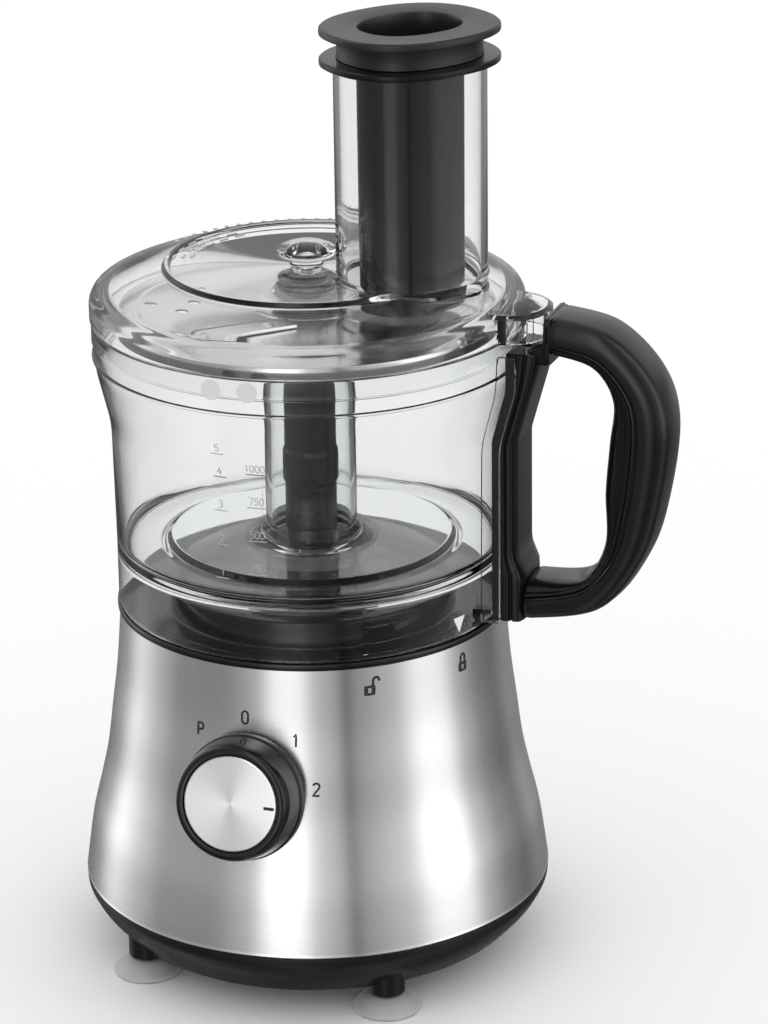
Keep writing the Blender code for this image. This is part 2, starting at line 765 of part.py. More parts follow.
def build_bowl_seal():
    """Soft ring under the bowl's floor, round the deck's boss."""
    ring = [(21.4, 165.0), (24.4, 165.0), (24.4, BOWL_FLOOR - 2.6), (21.4, BOWL_FLOOR - 2.6)]
    turned("bowl_seal", ring, SILICONE, steps=20)


# Disc, lid and pusher


def build_disc():
    """Steel slicing disc on a dark stem, with a riveted blade over its opening."""
    pan = [
        (6.0, DISC_TOP),
        (DISC_RADIUS - 1.0, DISC_TOP),
        (DISC_RADIUS, DISC_TOP - 1.0),
        (DISC_RADIUS, 264.5),
        (DISC_RADIUS - 1.4, 264.5),
        (DISC_RADIUS - 1.4, DISC_TOP - 1.2),
        (6.0, DISC_TOP - 1.2),
    ]
    disc = turned("slicing_disc", pan, STEEL)
    turn = Matrix.Rotation(DISC_TURN, 4, "Z")
    opening = block("slicing_opening", (16.0, 9.0, 260.0), (66.0, 17.0, 275.0))
    opening.matrix_basis = turn
    cut(disc, opening)
    for reach, angle in DISC_HOLES:
        at = (reach * math.cos(math.radians(angle)), reach * math.sin(math.radians(angle)))
        cut(disc, cylinder("disc_hole", 2.6, 260.0, 275.0, at, sides=16))
    blade = block("slicing_blade", (18.0, 13.5, DISC_TOP + GAP), (64.0, 27.0, DISC_TOP + 1.6), STEEL)
    blade.matrix_basis = turn
    round_edges(blade, 0.5, 1)
    for i, x in enumerate((30.0, 58.0)):
        head = [(0.0, DISC_TOP + 2.8), (1.6, DISC_TOP + 2.8), (2.4, DISC_TOP + 1.9), (0.0, DISC_TOP + 1.9)]
        rivet = turned(f"blade_rivet_{i + 1}", head, STEEL, steps=12)
        rivet.location = turn @ (Vector((x, 22.0, 0.0)) * MM)
    stem = [
        (0.0, 275.0),
        (5.6, 275.0),
        (5.6, 267.4),
        (14.0, 267.4),
        (14.0, 263.5),
        (10.5, 260.0),
        (10.5, 211.0),
        (11.2, 210.5),
        (11.2, TOWER_TOP + GAP),
        (0.0, TOWER_TOP + GAP),
    ]
    body = turned("disc_stem", stem, DARK_GREY, steps=20)
    cut(body, cylinder("hex_socket", 8.1, 190.0, PEG_TOP + 1.5, sides=6))
    hub = [
        (0.0, 285.0),
        (2.2, 285.0),
        (2.2, 279.0),
        (11.0, 279.0),
        (11.0, 271.4),
        (14.0, 271.0),
        (14.0, DISC_TOP + GAP),
        (6.0, DISC_TOP + GAP),
        (6.0, 275.4),
        (0.0, 275.4),
    ]
    turned("disc_hub", hub, DARK_GREY, steps=20)


def build_lid():
    """Clear lid with its skirt and the tab that works the handle's interlock, its feed tube and its bush."""
    section = [
        (6.5, LID_PLATEAU),
        (53.9, LID_PLATEAU),
        (54.3, LID_PLATEAU + 1.5),
        (55.9, LID_PLATEAU + 1.5),
        (56.5, LID_PLATEAU - 0.2),
        (81.4, 278.6),
        (84.9, 277.0),
        (LID_RADIUS, 274.5),
        (LID_RADIUS, BOWL_RIM + 0.6),
        (82.0, BOWL_RIM + 0.6),
        (82.0, 258.0),
        (79.8, 258.0),
        (79.8, 273.6),
        (78.6, 276.8),
        (55.4, LID_PLATEAU - LID_THICKNESS),
        (6.5, LID_PLATEAU - LID_THICKNESS),
    ]
    lid = turned("lid", section, CLEAR)
    reach = [(80.0, 18.0), (88.0, 17.5), (94.0, 15.0), (98.0, 10.0), (99.8, 4.0)]
    tab_outline = [(x, -y) for x, y in reach] + reach[::-1]
    tab = plate("lid_tab", tab_outline, BOWL_RIM + 0.6, 278.4)
    inner = [(86.6, 15.4), (93.0, 13.2), (96.4, 8.8), (97.7, 3.6)]
    hollow_outline = [(x, -y) for x, y in inner] + inner[::-1]
    hollow = plate("lid_tab_hollow", hollow_outline, 260.0, 276.3)
    cam = block("lid_cam", (90.4, -1.5, 263.3), (93.2, 1.5, 277.4))
    cut(tab, hollow)
    join(tab, cam)
    join(lid, tab)
    cut(lid, plate("feed_tube_way", oval(29.8 + GAP, 25.6 + GAP), 240.0, FEED_TUBE_TOP))
    tube = plate("feed_tube", oval(29.8, 25.6), FEED_TUBE_BOTTOM, FEED_TUBE_TOP, CLEAR)
    cut(tube, plate("feed_tube_inside", oval(27.6, 23.4), 240.0, FEED_TUBE_TOP + 9.0))
    bush = [
        (0.0, 296.0),
        (8.0, 295.4),
        (12.0, 293.0),
        (12.0, 290.6),
        (6.0, LID_PLATEAU + 0.8),
        (6.0, 280.0),
        (2.8, 280.0),
        (2.8, 286.4),
        (0.0, 286.4),
    ]
    turned("lid_bush", bush, CLEAR, steps=20)


def build_pusher():
    """Hollow pusher for the feed tube, with a flange that rests on the tube and a collar above it."""
    body = plate("pusher_body", oval(21.0, 17.2), 273.0, 373.6, DARK_GREY)
    join(body, plate("pusher_flange", oval(35.0, 30.6), FEED_TUBE_TOP + GAP, 374.0))
    cut(body, plate("pusher_hollow", oval(18.8, 15.0), 275.4, 380.0))
    collar = plate("pusher_collar", oval(28.2, 24.6), 374.3, 384.5, DARK_GREY)
    join(collar, plate("pusher_top_flange", oval(35.0, 30.6), 383.0, OVERALL_HEIGHT))
    cut(collar, plate("collar_opening", oval(20.3, 16.3), 370.0, 390.0))


build_base_shell()
build_bottom_tray()
build_feet()
build_tray_screws()
build_top_deck()
build_gland()
build_spindle()
build_belt()
build_motor()
build_controls()
build_interlock()
build_bowl()
build_handle()
build_interlock_rod()
build_bowl_seal()
build_disc()
build_lid()
build_pusher()
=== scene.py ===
"""Looks of a compact food processor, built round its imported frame.

Sizes are in millimetres about the drive axis, as a workshop drawing has them: x and y from the axis,
z from the worktop. `Drawing` turns them into the row frame's metres. Heights that the frame settles are
read from it.
"""

from __future__ import annotations

import json
import logging
import math
from collections.abc import Callable, Sequence
from dataclasses import dataclass, field
from enum import Enum

import bmesh
import bpy
import numpy as np
from mathutils import Matrix, Vector

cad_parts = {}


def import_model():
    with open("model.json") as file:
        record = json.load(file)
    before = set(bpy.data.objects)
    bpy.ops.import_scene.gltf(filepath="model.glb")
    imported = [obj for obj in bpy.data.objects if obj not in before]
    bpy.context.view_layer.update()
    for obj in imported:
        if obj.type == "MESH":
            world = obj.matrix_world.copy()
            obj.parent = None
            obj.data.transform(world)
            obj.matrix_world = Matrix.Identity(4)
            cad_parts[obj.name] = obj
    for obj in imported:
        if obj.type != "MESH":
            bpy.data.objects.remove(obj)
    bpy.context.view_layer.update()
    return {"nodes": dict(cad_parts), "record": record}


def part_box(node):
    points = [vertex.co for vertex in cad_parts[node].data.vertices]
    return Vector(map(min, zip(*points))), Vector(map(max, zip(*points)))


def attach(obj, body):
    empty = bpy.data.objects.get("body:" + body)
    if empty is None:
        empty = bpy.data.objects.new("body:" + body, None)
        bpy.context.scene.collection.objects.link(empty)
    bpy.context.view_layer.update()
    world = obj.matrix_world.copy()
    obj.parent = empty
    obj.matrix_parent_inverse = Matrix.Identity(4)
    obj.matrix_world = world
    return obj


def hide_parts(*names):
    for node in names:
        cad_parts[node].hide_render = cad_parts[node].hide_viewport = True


LOG = logging.getLogger("food_processor")
MM = 0.001
TAU = 2.0 * math.pi
QUARTER_TURN = 0.25
DUST_COLOUR = (0.5, 0.5, 0.5, 1.0)
SQUARE = ((-1, -1), (1, -1), (1, 1), (-1, 1))

Point2 = tuple[float, float]
Corner = tuple[float, float, float]
Point3 = tuple[float, float, float]


class Body(Enum):
    """The moving bodies that pieces ride on."""

    BASE = "base"
    SPINDLE = "spindle"
    BOWL = "bowl"
    DISC = "disc"
    LID_BUSH = "lid_bush"
    LID = "lid"
    PUSHER = "pusher"
    KNOB = "knob"


class Slot(Enum):
    """The record's material slots."""

    STEEL = "brushed_steel"
    BRIGHT_STEEL = "bright_steel"
    ALUMINIUM = "spun_aluminium"
    BLACK = "black_plastic"
    DARK_GREY = "dark_grey_plastic"
    CLEAR = "clear_plastic"
    SILICONE = "silicone"
    RUBBER = "black_rubber"
    LAMINATION = "lamination_steel"
    COPPER = "copper"
    CARBON = "carbon"
    BRONZE = "bronze"
    BOARD = "circuit_board"


class Join(Enum):
    """What happens to a base mesh when others are combined with it."""

    ADD = "UNION"
    CUT = "DIFFERENCE"


class Ends(Enum):
    """Whether a skin's first and last ring get a face."""

    CAPPED = "capped"
    OPEN = "open"


# Shader groups


def grey(level: float) -> tuple[float, float, float, float]:
    """A grey of one level, as a socket's colour."""
    return (level, level, level, 1.0)


class ShaderTree:
    """A thin layer over one node tree."""

    def __init__(self, tree: bpy.types.NodeTree) -> None:
        """Keeps the tree that the calls below add to."""
        self.tree = tree

    def add(
        self, kind: str, inputs: dict[str | int, object] | None = None, **settings: object
    ) -> bpy.types.Node:
        """Adds one node.

        Args:
            kind: The node's type.
            inputs: Socket name or number to a value, or to an output socket that feeds it.
            settings: Properties set on the node itself.

        Returns:
            The new node.
        """
        node = self.tree.nodes.new(kind)
        for key, value in settings.items():
            setattr(node, key, value)
        for key, value in (inputs or {}).items():
            if isinstance(value, bpy.types.NodeSocket):
                self.tree.links.new(value, node.inputs[key])
            else:
                node.inputs[key].default_value = value
        return node

    def link(self, source: bpy.types.NodeSocket, target: bpy.types.NodeSocket) -> None:
        """Joins an output socket to an input socket."""
        self.tree.links.new(source, target)

    def blend(self, share: object, first: object, second: object) -> bpy.types.NodeSocket:
        """Two colours mixed by a share, as the mix's output socket."""
        return self.add("ShaderNodeMix", {0: share, 6: first, 7: second}, data_type="RGBA").outputs[2]

    def noise(self, place: object, scale: object, detail: float, **more: float) -> bpy.types.NodeSocket:
        """A noise pattern's strength at a place."""
        sockets = {"Vector": place, "Scale": scale, "Detail": detail, **more}
        return self.add("ShaderNodeTexNoise", sockets).outputs["Fac"]

    def math(self, operation: str, first: object, second: object = 0.0) -> bpy.types.NodeSocket:
        """One math step, clamped by nothing, as its output socket."""
        return self.add("ShaderNodeMath", {0: first, 1: second}, operation=operation).outputs[0]

    def remap(
        self, value: object, low: float, high: float, to_low: float, to_high: float
    ) -> bpy.types.NodeSocket:
        """The value moved from one range to another, clamped."""
        sockets = {"Value": value, "From Min": low, "From Max": high, "To Min": to_low, "To Max": to_high}
        return self.add("ShaderNodeMapRange", sockets).outputs["Result"]


class GroupLibrary:
    """The shader groups that several finishes share, each built once."""

    def __init__(self) -> None:
        """Starts with no groups built."""
        self.built: dict[str, bpy.types.NodeTree] = {}

    def _start(
        self, name: str, inputs: dict[str, float], outputs: dict[str, str]
    ) -> tuple[ShaderTree, object, object]:
        """Makes an empty group with float inputs and the given outputs, and its two end nodes.

        Args:
            name: The group's name.
            inputs: Each input socket with its resting value.
            outputs: Each output socket with its type.

        Returns:
            The tree with its input and output nodes.
        """
        group = bpy.data.node_groups.new(name, "ShaderNodeTree")
        for label, value in inputs.items():
            socket = group.interface.new_socket(label, in_out="INPUT", socket_type="NodeSocketFloat")
            socket.default_value = value
        for label, kind in outputs.items():
            group.interface.new_socket(label, in_out="OUTPUT", socket_type=kind)
        tree = ShaderTree(group)
        return tree, tree.add("NodeGroupInput"), tree.add("NodeGroupOutput")

    def moulded_grain(self) -> bpy.types.NodeTree:
        """Fine moulded texture: a height for the bump and a slow gloss change.

        Returns:
            The group, built once.
        """
        if "moulded_grain" not in self.built:
            inputs = {"Scale": 900.0, "Gloss": 0.3, "Gloss Change": 0.08}
            outputs = {"Height": "NodeSocketFloat", "Roughness": "NodeSocketFloat"}
            tree, start, end = self._start("moulded_grain", inputs, outputs)
            place = tree.add("ShaderNodeTexCoord").outputs["Object"]
            fine = tree.noise(place, start.outputs["Scale"], 3.0)
            slow = tree.math("SUBTRACT", tree.noise(place, 34.0, 4.0), 0.5)
            swing = tree.math("MULTIPLY", slow, start.outputs["Gloss Change"])
            tree.link(fine, end.inputs["Height"])
            tree.link(tree.math("ADD", start.outputs["Gloss"], swing), end.inputs["Roughness"])
            self.built["moulded_grain"] = tree.tree
        return self.built["moulded_grain"]

    def edge_wear(self) -> bpy.types.NodeTree:
        """A mask that is bright where an edge has been rubbed, broken up by noise.

        Returns:
            The group, built once.
        """
        if "edge_wear" not in self.built:
            inputs = {"Start": 0.52, "End": 0.62, "Break Up": 260.0}
            tree, start, end = self._start("edge_wear", inputs, {"Mask": "NodeSocketFloat"})
            point = tree.add("ShaderNodeNewGeometry").outputs["Pointiness"]
            place = tree.add("ShaderNodeTexCoord").outputs["Object"]
            noise = tree.noise(place, start.outputs["Break Up"], 5.0)
            sockets = {"Value": point, "From Min": start.outputs["Start"], "From Max": start.outputs["End"]}
            edge = tree.add("ShaderNodeMapRange", sockets).outputs["Result"]
            broken = tree.remap(noise, 0.42, 0.66, 0.15, 1.0)
            tree.link(tree.math("MULTIPLY", edge, broken), end.inputs["Mask"])
            self.built["edge_wear"] = tree.tree
        return self.built["edge_wear"]

    def brushing(self) -> bpy.types.NodeTree:
        """Fine lines that run round the object's Z axis or along it, from its own cylindrical coordinates.

        Returns:
            The group, built once.
        """
        if "brushing" not in self.built:
            inputs = {"Round": 12.0, "Across": 5200.0, "Out": 0.0, "Centre X": 0.0}
            outputs = {"Height": "NodeSocketFloat", "Tone": "NodeSocketFloat"}
            tree, start, end = self._start("brushing", inputs, outputs)
            place = tree.add("ShaderNodeTexCoord").outputs["Object"]
            split = tree.add("ShaderNodeSeparateXYZ", {0: place})
            x = tree.math("SUBTRACT", split.outputs["X"], start.outputs["Centre X"])
            y = split.outputs["Y"]
            angle = tree.math("ARCTAN2", y, x)
            squares = tree.math("ADD", tree.math("MULTIPLY", x, x), tree.math("MULTIPLY", y, y))
            reach = tree.math("SQRT", squares)
            parts = {
                0: tree.math("MULTIPLY", angle, start.outputs["Round"]),
                1: tree.math("MULTIPLY", split.outputs["Z"], start.outputs["Across"]),
                2: tree.math("MULTIPLY", reach, start.outputs["Out"]),
            }
            lines_at = tree.add("ShaderNodeCombineXYZ", parts).outputs[0]
            lines = tree.noise(lines_at, 1.0, 6.0, Roughness=0.7)
            cloud = tree.noise(place, 18.0, 3.0)
            mixed = tree.math("ADD", tree.math("MULTIPLY", lines, 0.8), tree.math("MULTIPLY", cloud, 0.2))
            tree.link(lines, end.inputs["Height"])
            tree.link(mixed, end.inputs["Tone"])
            self.built["brushing"] = tree.tree
        return self.built["brushing"]

    def handling_marks(self) -> bpy.types.NodeTree:
        """Dust and faint wipe marks: a mask for colour and a gloss change.

        Returns:
            The group, built once.
        """
        if "handling_marks" not in self.built:
            inputs = {"Amount": 0.3, "Scale": 22.0}
            outputs = {"Mask": "NodeSocketFloat", "Gloss": "NodeSocketFloat"}
            tree, start, end = self._start("handling_marks", inputs, outputs)
            place = tree.add("ShaderNodeTexCoord").outputs["Object"]
            smear = tree.noise(place, start.outputs["Scale"], 7.0, Distortion=1.4)
            specks = tree.noise(place, 2600.0, 1.0)
            wiped = tree.remap(smear, 0.45, 0.72, 0.0, 1.0)
            dusty = tree.remap(specks, 0.7, 0.8, 0.0, 1.0)
            tree.link(tree.math("MULTIPLY", dusty, start.outputs["Amount"]), end.inputs["Mask"])
            tree.link(tree.math("MULTIPLY", wiped, start.outputs["Amount"]), end.inputs["Gloss"])
            self.built["handling_marks"] = tree.tree
        return self.built["handling_marks"]


GROUPS = GroupLibrary()


# Finishes


@dataclass(frozen=True)
class Finish:
    """What every finish shares: a name, a colour and a slot, and a material that is made once."""

    name: str
    colour: Point3
    slot: Slot

    def material(self) -> bpy.types.Material:
        """The finish's material, made the first time it is asked for."""
        found = bpy.data.materials.get(self.name)
        return found if found is not None else self.make()

    def start(self) -> tuple[bpy.types.Material, ShaderTree, bpy.types.Node]:
        """A new node material in the finish's colour, with its tree and its Principled shader.

        Returns:
            The material, its tree and its Principled shader.
        """
        made = bpy.data.materials.new(self.name)
        made.use_nodes = True
        made.diffuse_color = (*self.colour, 1.0)
        shader = made.node_tree.nodes["Principled BSDF"]
        shader.inputs["Base Color"].default_value = (*self.colour, 1.0)
        return made, ShaderTree(made.node_tree), shader

    def make(self) -> bpy.types.Material:
        """Builds the plain material; each kind of finish adds its own detail."""
        return self.start()[0]


@dataclass(frozen=True)
class MouldedPlastic(Finish):
    """Opaque moulded plastic with grain, rubbed edges, dust and a gloss that varies a little."""

    roughness: float = 0.28
    gloss_change: float = 0.1
    grain_scale: float = 1500.0
    grain_depth: float = 0.06
    wear: float = 0.35
    dust: float = 0.03
    wiped_gloss: float = 0.12
    grain_height: float = 0.00004
    specular: float = 0.36

    def make(self) -> bpy.types.Material:
        """Builds the plastic's nodes.

        Returns:
            The finished material.
        """
        made, tree, shader = self.start()
        grain = tree.add("ShaderNodeGroup", node_tree=GROUPS.moulded_grain())
        grain.inputs["Scale"].default_value = self.grain_scale
        grain.inputs["Gloss"].default_value = self.roughness
        grain.inputs["Gloss Change"].default_value = self.gloss_change
        wear = tree.add("ShaderNodeGroup", node_tree=GROUPS.edge_wear())
        marks = tree.add("ShaderNodeGroup", node_tree=GROUPS.handling_marks())
        light = tuple(min(1.0, c * 1.6 + 0.03) for c in self.colour)
        rubbed = tree.math("MULTIPLY", wear.outputs["Mask"], self.wear)
        edge = tree.blend(rubbed, (*self.colour, 1.0), (*light, 1.0))
        dusty = tree.math("MULTIPLY", marks.outputs["Mask"], self.dust)
        tree.link(tree.blend(dusty, edge, DUST_COLOUR), shader.inputs["Base Color"])
        wiped = tree.math("MULTIPLY", marks.outputs["Gloss"], self.wiped_gloss)
        gloss = tree.math("ADD", grain.outputs["Roughness"], wiped)
        tree.link(gloss, shader.inputs["Roughness"])
        sockets = {
            "Height": grain.outputs["Height"],
            "Strength": self.grain_depth,
            "Distance": self.grain_height,
        }
        bump = tree.add("ShaderNodeBump", sockets)
        tree.link(bump.outputs["Normal"], shader.inputs["Normal"])
        shader.inputs["Specular IOR Level"].default_value = self.specular
        return made


@dataclass(frozen=True)
class BrushedMetal(Finish):
    """Metal with fine lines round its axis, a tangent that follows them and a little tone change."""

    roughness: float = 0.3
    anisotropy: float = 0.6
    lines: float = 5200.0
    round_lines: float = 14.0
    out_lines: float = 0.0
    centre_x: float = 0.0
    line_depth: float = 0.03
    line_height: float = 0.00008
    tones: Point2 = (0.95, 1.04)
    wiped_gloss: float = 0.1

    def make(self) -> bpy.types.Material:
        """Builds the metal's nodes.

        Returns:
            The finished material.
        """
        made, tree, shader = self.start()
        brushed = tree.add("ShaderNodeGroup", node_tree=GROUPS.brushing())
        brushed.inputs["Round"].default_value = self.round_lines
        brushed.inputs["Across"].default_value = self.lines
        brushed.inputs["Out"].default_value = self.out_lines
        brushed.inputs["Centre X"].default_value = self.centre_x
        marks = tree.add("ShaderNodeGroup", node_tree=GROUPS.handling_marks())
        dark, light = ([min(1.0, c * tone) for c in self.colour] for tone in self.tones)
        tone = tree.blend(brushed.outputs["Tone"], (*dark, 1.0), (*light, 1.0))
        tree.link(tone, shader.inputs["Base Color"])
        rough = tree.remap(brushed.outputs["Tone"], 0.3, 0.7, self.roughness - 0.05, self.roughness + 0.07)
        rough = tree.math("ADD", rough, tree.math("MULTIPLY", marks.outputs["Gloss"], self.wiped_gloss))
        tree.link(rough, shader.inputs["Roughness"])
        sockets = {
            "Height": brushed.outputs["Height"],
            "Strength": self.line_depth,
            "Distance": self.line_height,
        }
        tree.link(tree.add("ShaderNodeBump", sockets).outputs["Normal"], shader.inputs["Normal"])
        tangent = tree.add("ShaderNodeTangent", direction_type="RADIAL", axis="Z")
        tree.link(tangent.outputs[0], shader.inputs["Tangent"])
        shader.inputs["Metallic"].default_value = 1.0
        shader.inputs["Anisotropic"].default_value = self.anisotropy
        shader.inputs["Anisotropic Rotation"].default_value = QUARTER_TURN
        return made


@dataclass(frozen=True)
class ClearPlastic(Finish):
    """Polished clear plastic: bends light, lets lamps through, with faint flow marks and wipe marks."""

    roughness: float = 0.02
    ior: float = 1.42
    absorption: float = 22.0
    inner_tint: Point3 = (0.70, 0.74, 0.75)
    lamp_tint: Point3 = (0.96, 0.97, 0.98)
    flow_scale: float = 26.0
    flow_strength: float = 0.08
    flow_height: float = 0.0006

    def make(self) -> bpy.types.Material:
        """Builds the clear shader, its lamp-ray bypass and its faint tint inside the walls.

        Returns:
            The finished material.
        """
        made, tree, shader = self.start()
        marks = tree.add("ShaderNodeGroup", node_tree=GROUPS.handling_marks())
        marks.inputs["Amount"].default_value = 0.5
        rough = tree.math("ADD", tree.math("MULTIPLY", marks.outputs["Gloss"], 0.03), self.roughness)
        tree.link(rough, shader.inputs["Roughness"])
        grain = tree.add("ShaderNodeGroup", node_tree=GROUPS.moulded_grain())
        grain.inputs["Scale"].default_value = self.flow_scale
        sockets = {
            "Height": grain.outputs["Height"],
            "Strength": self.flow_strength,
            "Distance": self.flow_height,
        }
        bump = tree.add("ShaderNodeBump", sockets)
        tree.link(bump.outputs["Normal"], shader.inputs["Normal"])
        shader.inputs["Transmission Weight"].default_value = 1.0
        shader.inputs["IOR"].default_value = self.ior
        through = tree.add("ShaderNodeBsdfTransparent")
        through.inputs["Color"].default_value = (*self.lamp_tint, 1.0)
        lamp = tree.add("ShaderNodeLightPath").outputs["Is Shadow Ray"]
        both = tree.add("ShaderNodeMixShader", {0: lamp, 1: shader.outputs[0], 2: through.outputs[0]})
        inside = tree.add("ShaderNodeVolumeAbsorption")
        inside.inputs["Color"].default_value = (*self.inner_tint, 1.0)
        inside.inputs["Density"].default_value = self.absorption
        out = tree.tree.nodes["Material Output"]
        tree.link(both.outputs[0], out.inputs["Surface"])
        tree.link(inside.outputs[0], out.inputs["Volume"])
        return made


@dataclass(frozen=True)
class SoftSilicone(Finish):
    """Milky, slightly see-through silicone."""

    roughness: float = 0.38
    grain_scale: float = 700.0
    scatter_share: float = 0.6
    scatter_reach: float = 0.004

    def make(self) -> bpy.types.Material:
        """Builds the silicone's nodes.

        Returns:
            The finished material.
        """
        made, tree, shader = self.start()
        grain = tree.add("ShaderNodeGroup", node_tree=GROUPS.moulded_grain())
        grain.inputs["Scale"].default_value = self.grain_scale
        grain.inputs["Gloss"].default_value = self.roughness
        tree.link(grain.outputs["Roughness"], shader.inputs["Roughness"])
        bump = tree.add(
            "ShaderNodeBump", {"Height": grain.outputs["Height"], "Strength": 0.1, "Distance": 0.0002}
        )
        tree.link(bump.outputs["Normal"], shader.inputs["Normal"])
        shader.inputs["Subsurface Weight"].default_value = self.scatter_share
        shader.inputs["Subsurface Radius"].default_value = (self.scatter_reach,) * 3
        shader.inputs["Subsurface Scale"].default_value = 1.0
        return made


STEEL = BrushedMetal("brushed_shell_steel", (0.71, 0.707, 0.70), Slot.STEEL, roughness=0.25, anisotropy=0.8)
DISC_STEEL = BrushedMetal(
    "polished_disc_steel",
    (0.72, 0.72, 0.73),
    Slot.BRIGHT_STEEL,
    roughness=0.17,
    anisotropy=0.5,
    out_lines=3000.0,
)
BRIGHT_STEEL = BrushedMetal(
    "plated_steel", (0.7, 0.7, 0.71), Slot.BRIGHT_STEEL, roughness=0.25, anisotropy=0.2
)
SPUN_CAP = BrushedMetal(
    "spun_cap_aluminium",
    (0.84, 0.84, 0.85),
    Slot.ALUMINIUM,
    roughness=0.27,
    anisotropy=0.85,
    lines=0.0,
    round_lines=2.0,
    out_lines=6500.0,
)
LAMINATION = BrushedMetal(
    "lamination_stack",
    (0.34, 0.34, 0.36),
    Slot.LAMINATION,
    roughness=0.45,
    anisotropy=0.1,
    lines=1900.0,
    round_lines=0.5,
)
COPPER = BrushedMetal(
    "enamelled_copper", (0.72, 0.36, 0.18), Slot.COPPER, roughness=0.35, anisotropy=0.3, lines=2600.0
)
BRONZE = BrushedMetal(
    "sintered_bronze", (0.5, 0.34, 0.16), Slot.BRONZE, roughness=0.5, anisotropy=0.0, lines=900.0
)
GLOSS_BLACK = MouldedPlastic(
    "gloss_black_plastic", (0.005, 0.0055, 0.006), Slot.BLACK, roughness=0.14, grain_depth=0.01, wear=0.1
)
SATIN_BLACK = MouldedPlastic(
    "satin_black_plastic",
    (0.008, 0.009, 0.0092),
    Slot.BLACK,
    roughness=0.26,
    grain_depth=0.02,
    specular=0.24,
)
DARK_GREY = MouldedPlastic(
    "satin_dark_grey_plastic",
    (0.0055, 0.006, 0.0064),
    Slot.DARK_GREY,
    roughness=0.17,
    grain_depth=0.004,
    wear=0.1,
    specular=0.2,
)
FLANGE_GREY = MouldedPlastic(
    "fine_matt_dark_grey_plastic",
    (0.013, 0.0138, 0.0142),
    Slot.DARK_GREY,
    roughness=0.34,
    grain_depth=0.05,
    wear=0.1,
)
GLOSS_HANDLE = MouldedPlastic(
    "handle_black_plastic", (0.0065, 0.007, 0.0073), Slot.BLACK, roughness=0.17, grain_depth=0.02, wear=0.1
)
STEM_GREY = MouldedPlastic(
    "stem_dark_grey_plastic",
    (0.011, 0.012, 0.0124),
    Slot.DARK_GREY,
    roughness=0.22,
    grain_depth=0.02,
    wear=0.1,
)
RUBBER = MouldedPlastic(
    "black_rubber_moulding", (0.02, 0.02, 0.021), Slot.RUBBER, roughness=0.75, grain_depth=0.3, specular=0.3
)
CARBON = MouldedPlastic("pressed_carbon", (0.05, 0.05, 0.052), Slot.CARBON, roughness=0.85, grain_depth=0.4)
BOARD = MouldedPlastic("board_solder_mask", (0.03, 0.15, 0.07), Slot.BOARD, roughness=0.35, grain_depth=0.15)
INK = MouldedPlastic(
    "black_print", (0.02, 0.02, 0.022), Slot.BLACK, roughness=0.45, grain_depth=0.0, wear=0.0
)
WHITE_PRINT = MouldedPlastic(
    "white_print", (0.85, 0.86, 0.87), Slot.CLEAR, roughness=0.5, grain_depth=0.05, wear=0.0
)
GREY_PRINT = MouldedPlastic(
    "grey_level_print", (0.36, 0.37, 0.38), Slot.CLEAR, roughness=0.5, grain_depth=0.05, wear=0.0
)
FROSTED = MouldedPlastic(
    "frosted_mark", (0.62, 0.63, 0.64), Slot.CLEAR, roughness=0.6, grain_depth=0.3, wear=0.0
)
CLEAR = ClearPlastic("clear_moulded_plastic", (0.972, 0.977, 0.98), Slot.CLEAR)
SILICONE = SoftSilicone("milky_silicone", (0.43, 0.44, 0.445), Slot.SILICONE)

CARRIED_FINISHES: dict[Slot, Finish] = {
    Slot.STEEL: STEEL,
    Slot.BRIGHT_STEEL: BRIGHT_STEEL,
    Slot.ALUMINIUM: SPUN_CAP,
    Slot.BLACK: SATIN_BLACK,
    Slot.DARK_GREY: DARK_GREY,
    Slot.CLEAR: CLEAR,
    Slot.SILICONE: SILICONE,
    Slot.RUBBER: RUBBER,
    Slot.LAMINATION: LAMINATION,
    Slot.COPPER: COPPER,
    Slot.CARBON: CARBON,
    Slot.BRONZE: BRONZE,
    Slot.BOARD: BOARD,
}


# Shape tools


def rounded(corners: Sequence[Corner], steps: int = 5, closed: bool = True) -> list[Point2]:
    """An outline whose corners are eased by a short curve.

    Args:
        corners: (first, second, ease) for each corner; ease is how far the curve starts from the corner.
        steps: Points on each eased corner, less one.
        closed: Whether the last corner joins the first.

    Returns:
        The outline's points.
    """
    found: list[Point2] = []
    count = len(corners)
    for i, (u, v, ease) in enumerate(corners):
        here = Vector((u, v))
        at_end = not closed and i in (0, count - 1)
        if ease <= 0.0 or at_end:
            found.append((u, v))
            continue
        before = Vector(corners[(i - 1) % count][:2]) - here
        after = Vector(corners[(i + 1) % count][:2]) - here
        reach = min(ease, before.length * 0.48, after.length * 0.48)
        start = here + before.normalized() * reach
        end = here + after.normalized() * reach
        for k in range(steps + 1):
            t = k / steps
            point = start * (1 - t) ** 2 + here * 2 * t * (1 - t) + end * t**2
            found.append((point.x, point.y))
    return found


def flowing(points: Sequence[Point2], between: int = 8) -> list[Vector]:
    """A smooth Catmull-Rom line through the points.

    Args:
        points: The points that the curve passes through.
        between: Points added between two of them.

    Returns:
        The curve's points.
    """
    found: list[Vector] = []
    last = len(points) - 1
    for i in range(last):
        p0, p1, p2, p3 = (Vector(points[min(max(i + k, 0), last)]) for k in (-1, 0, 1, 2))
        for k in range(between):
            t = k / between
            bend = (p2 - p0) * t + (2 * p0 - 5 * p1 + 4 * p2 - p3) * t**2
            found.append(p1 + 0.5 * (bend + (3 * p1 - p0 - 3 * p2 + p3) * t**3))
    found.append(Vector(points[-1]))
    return found


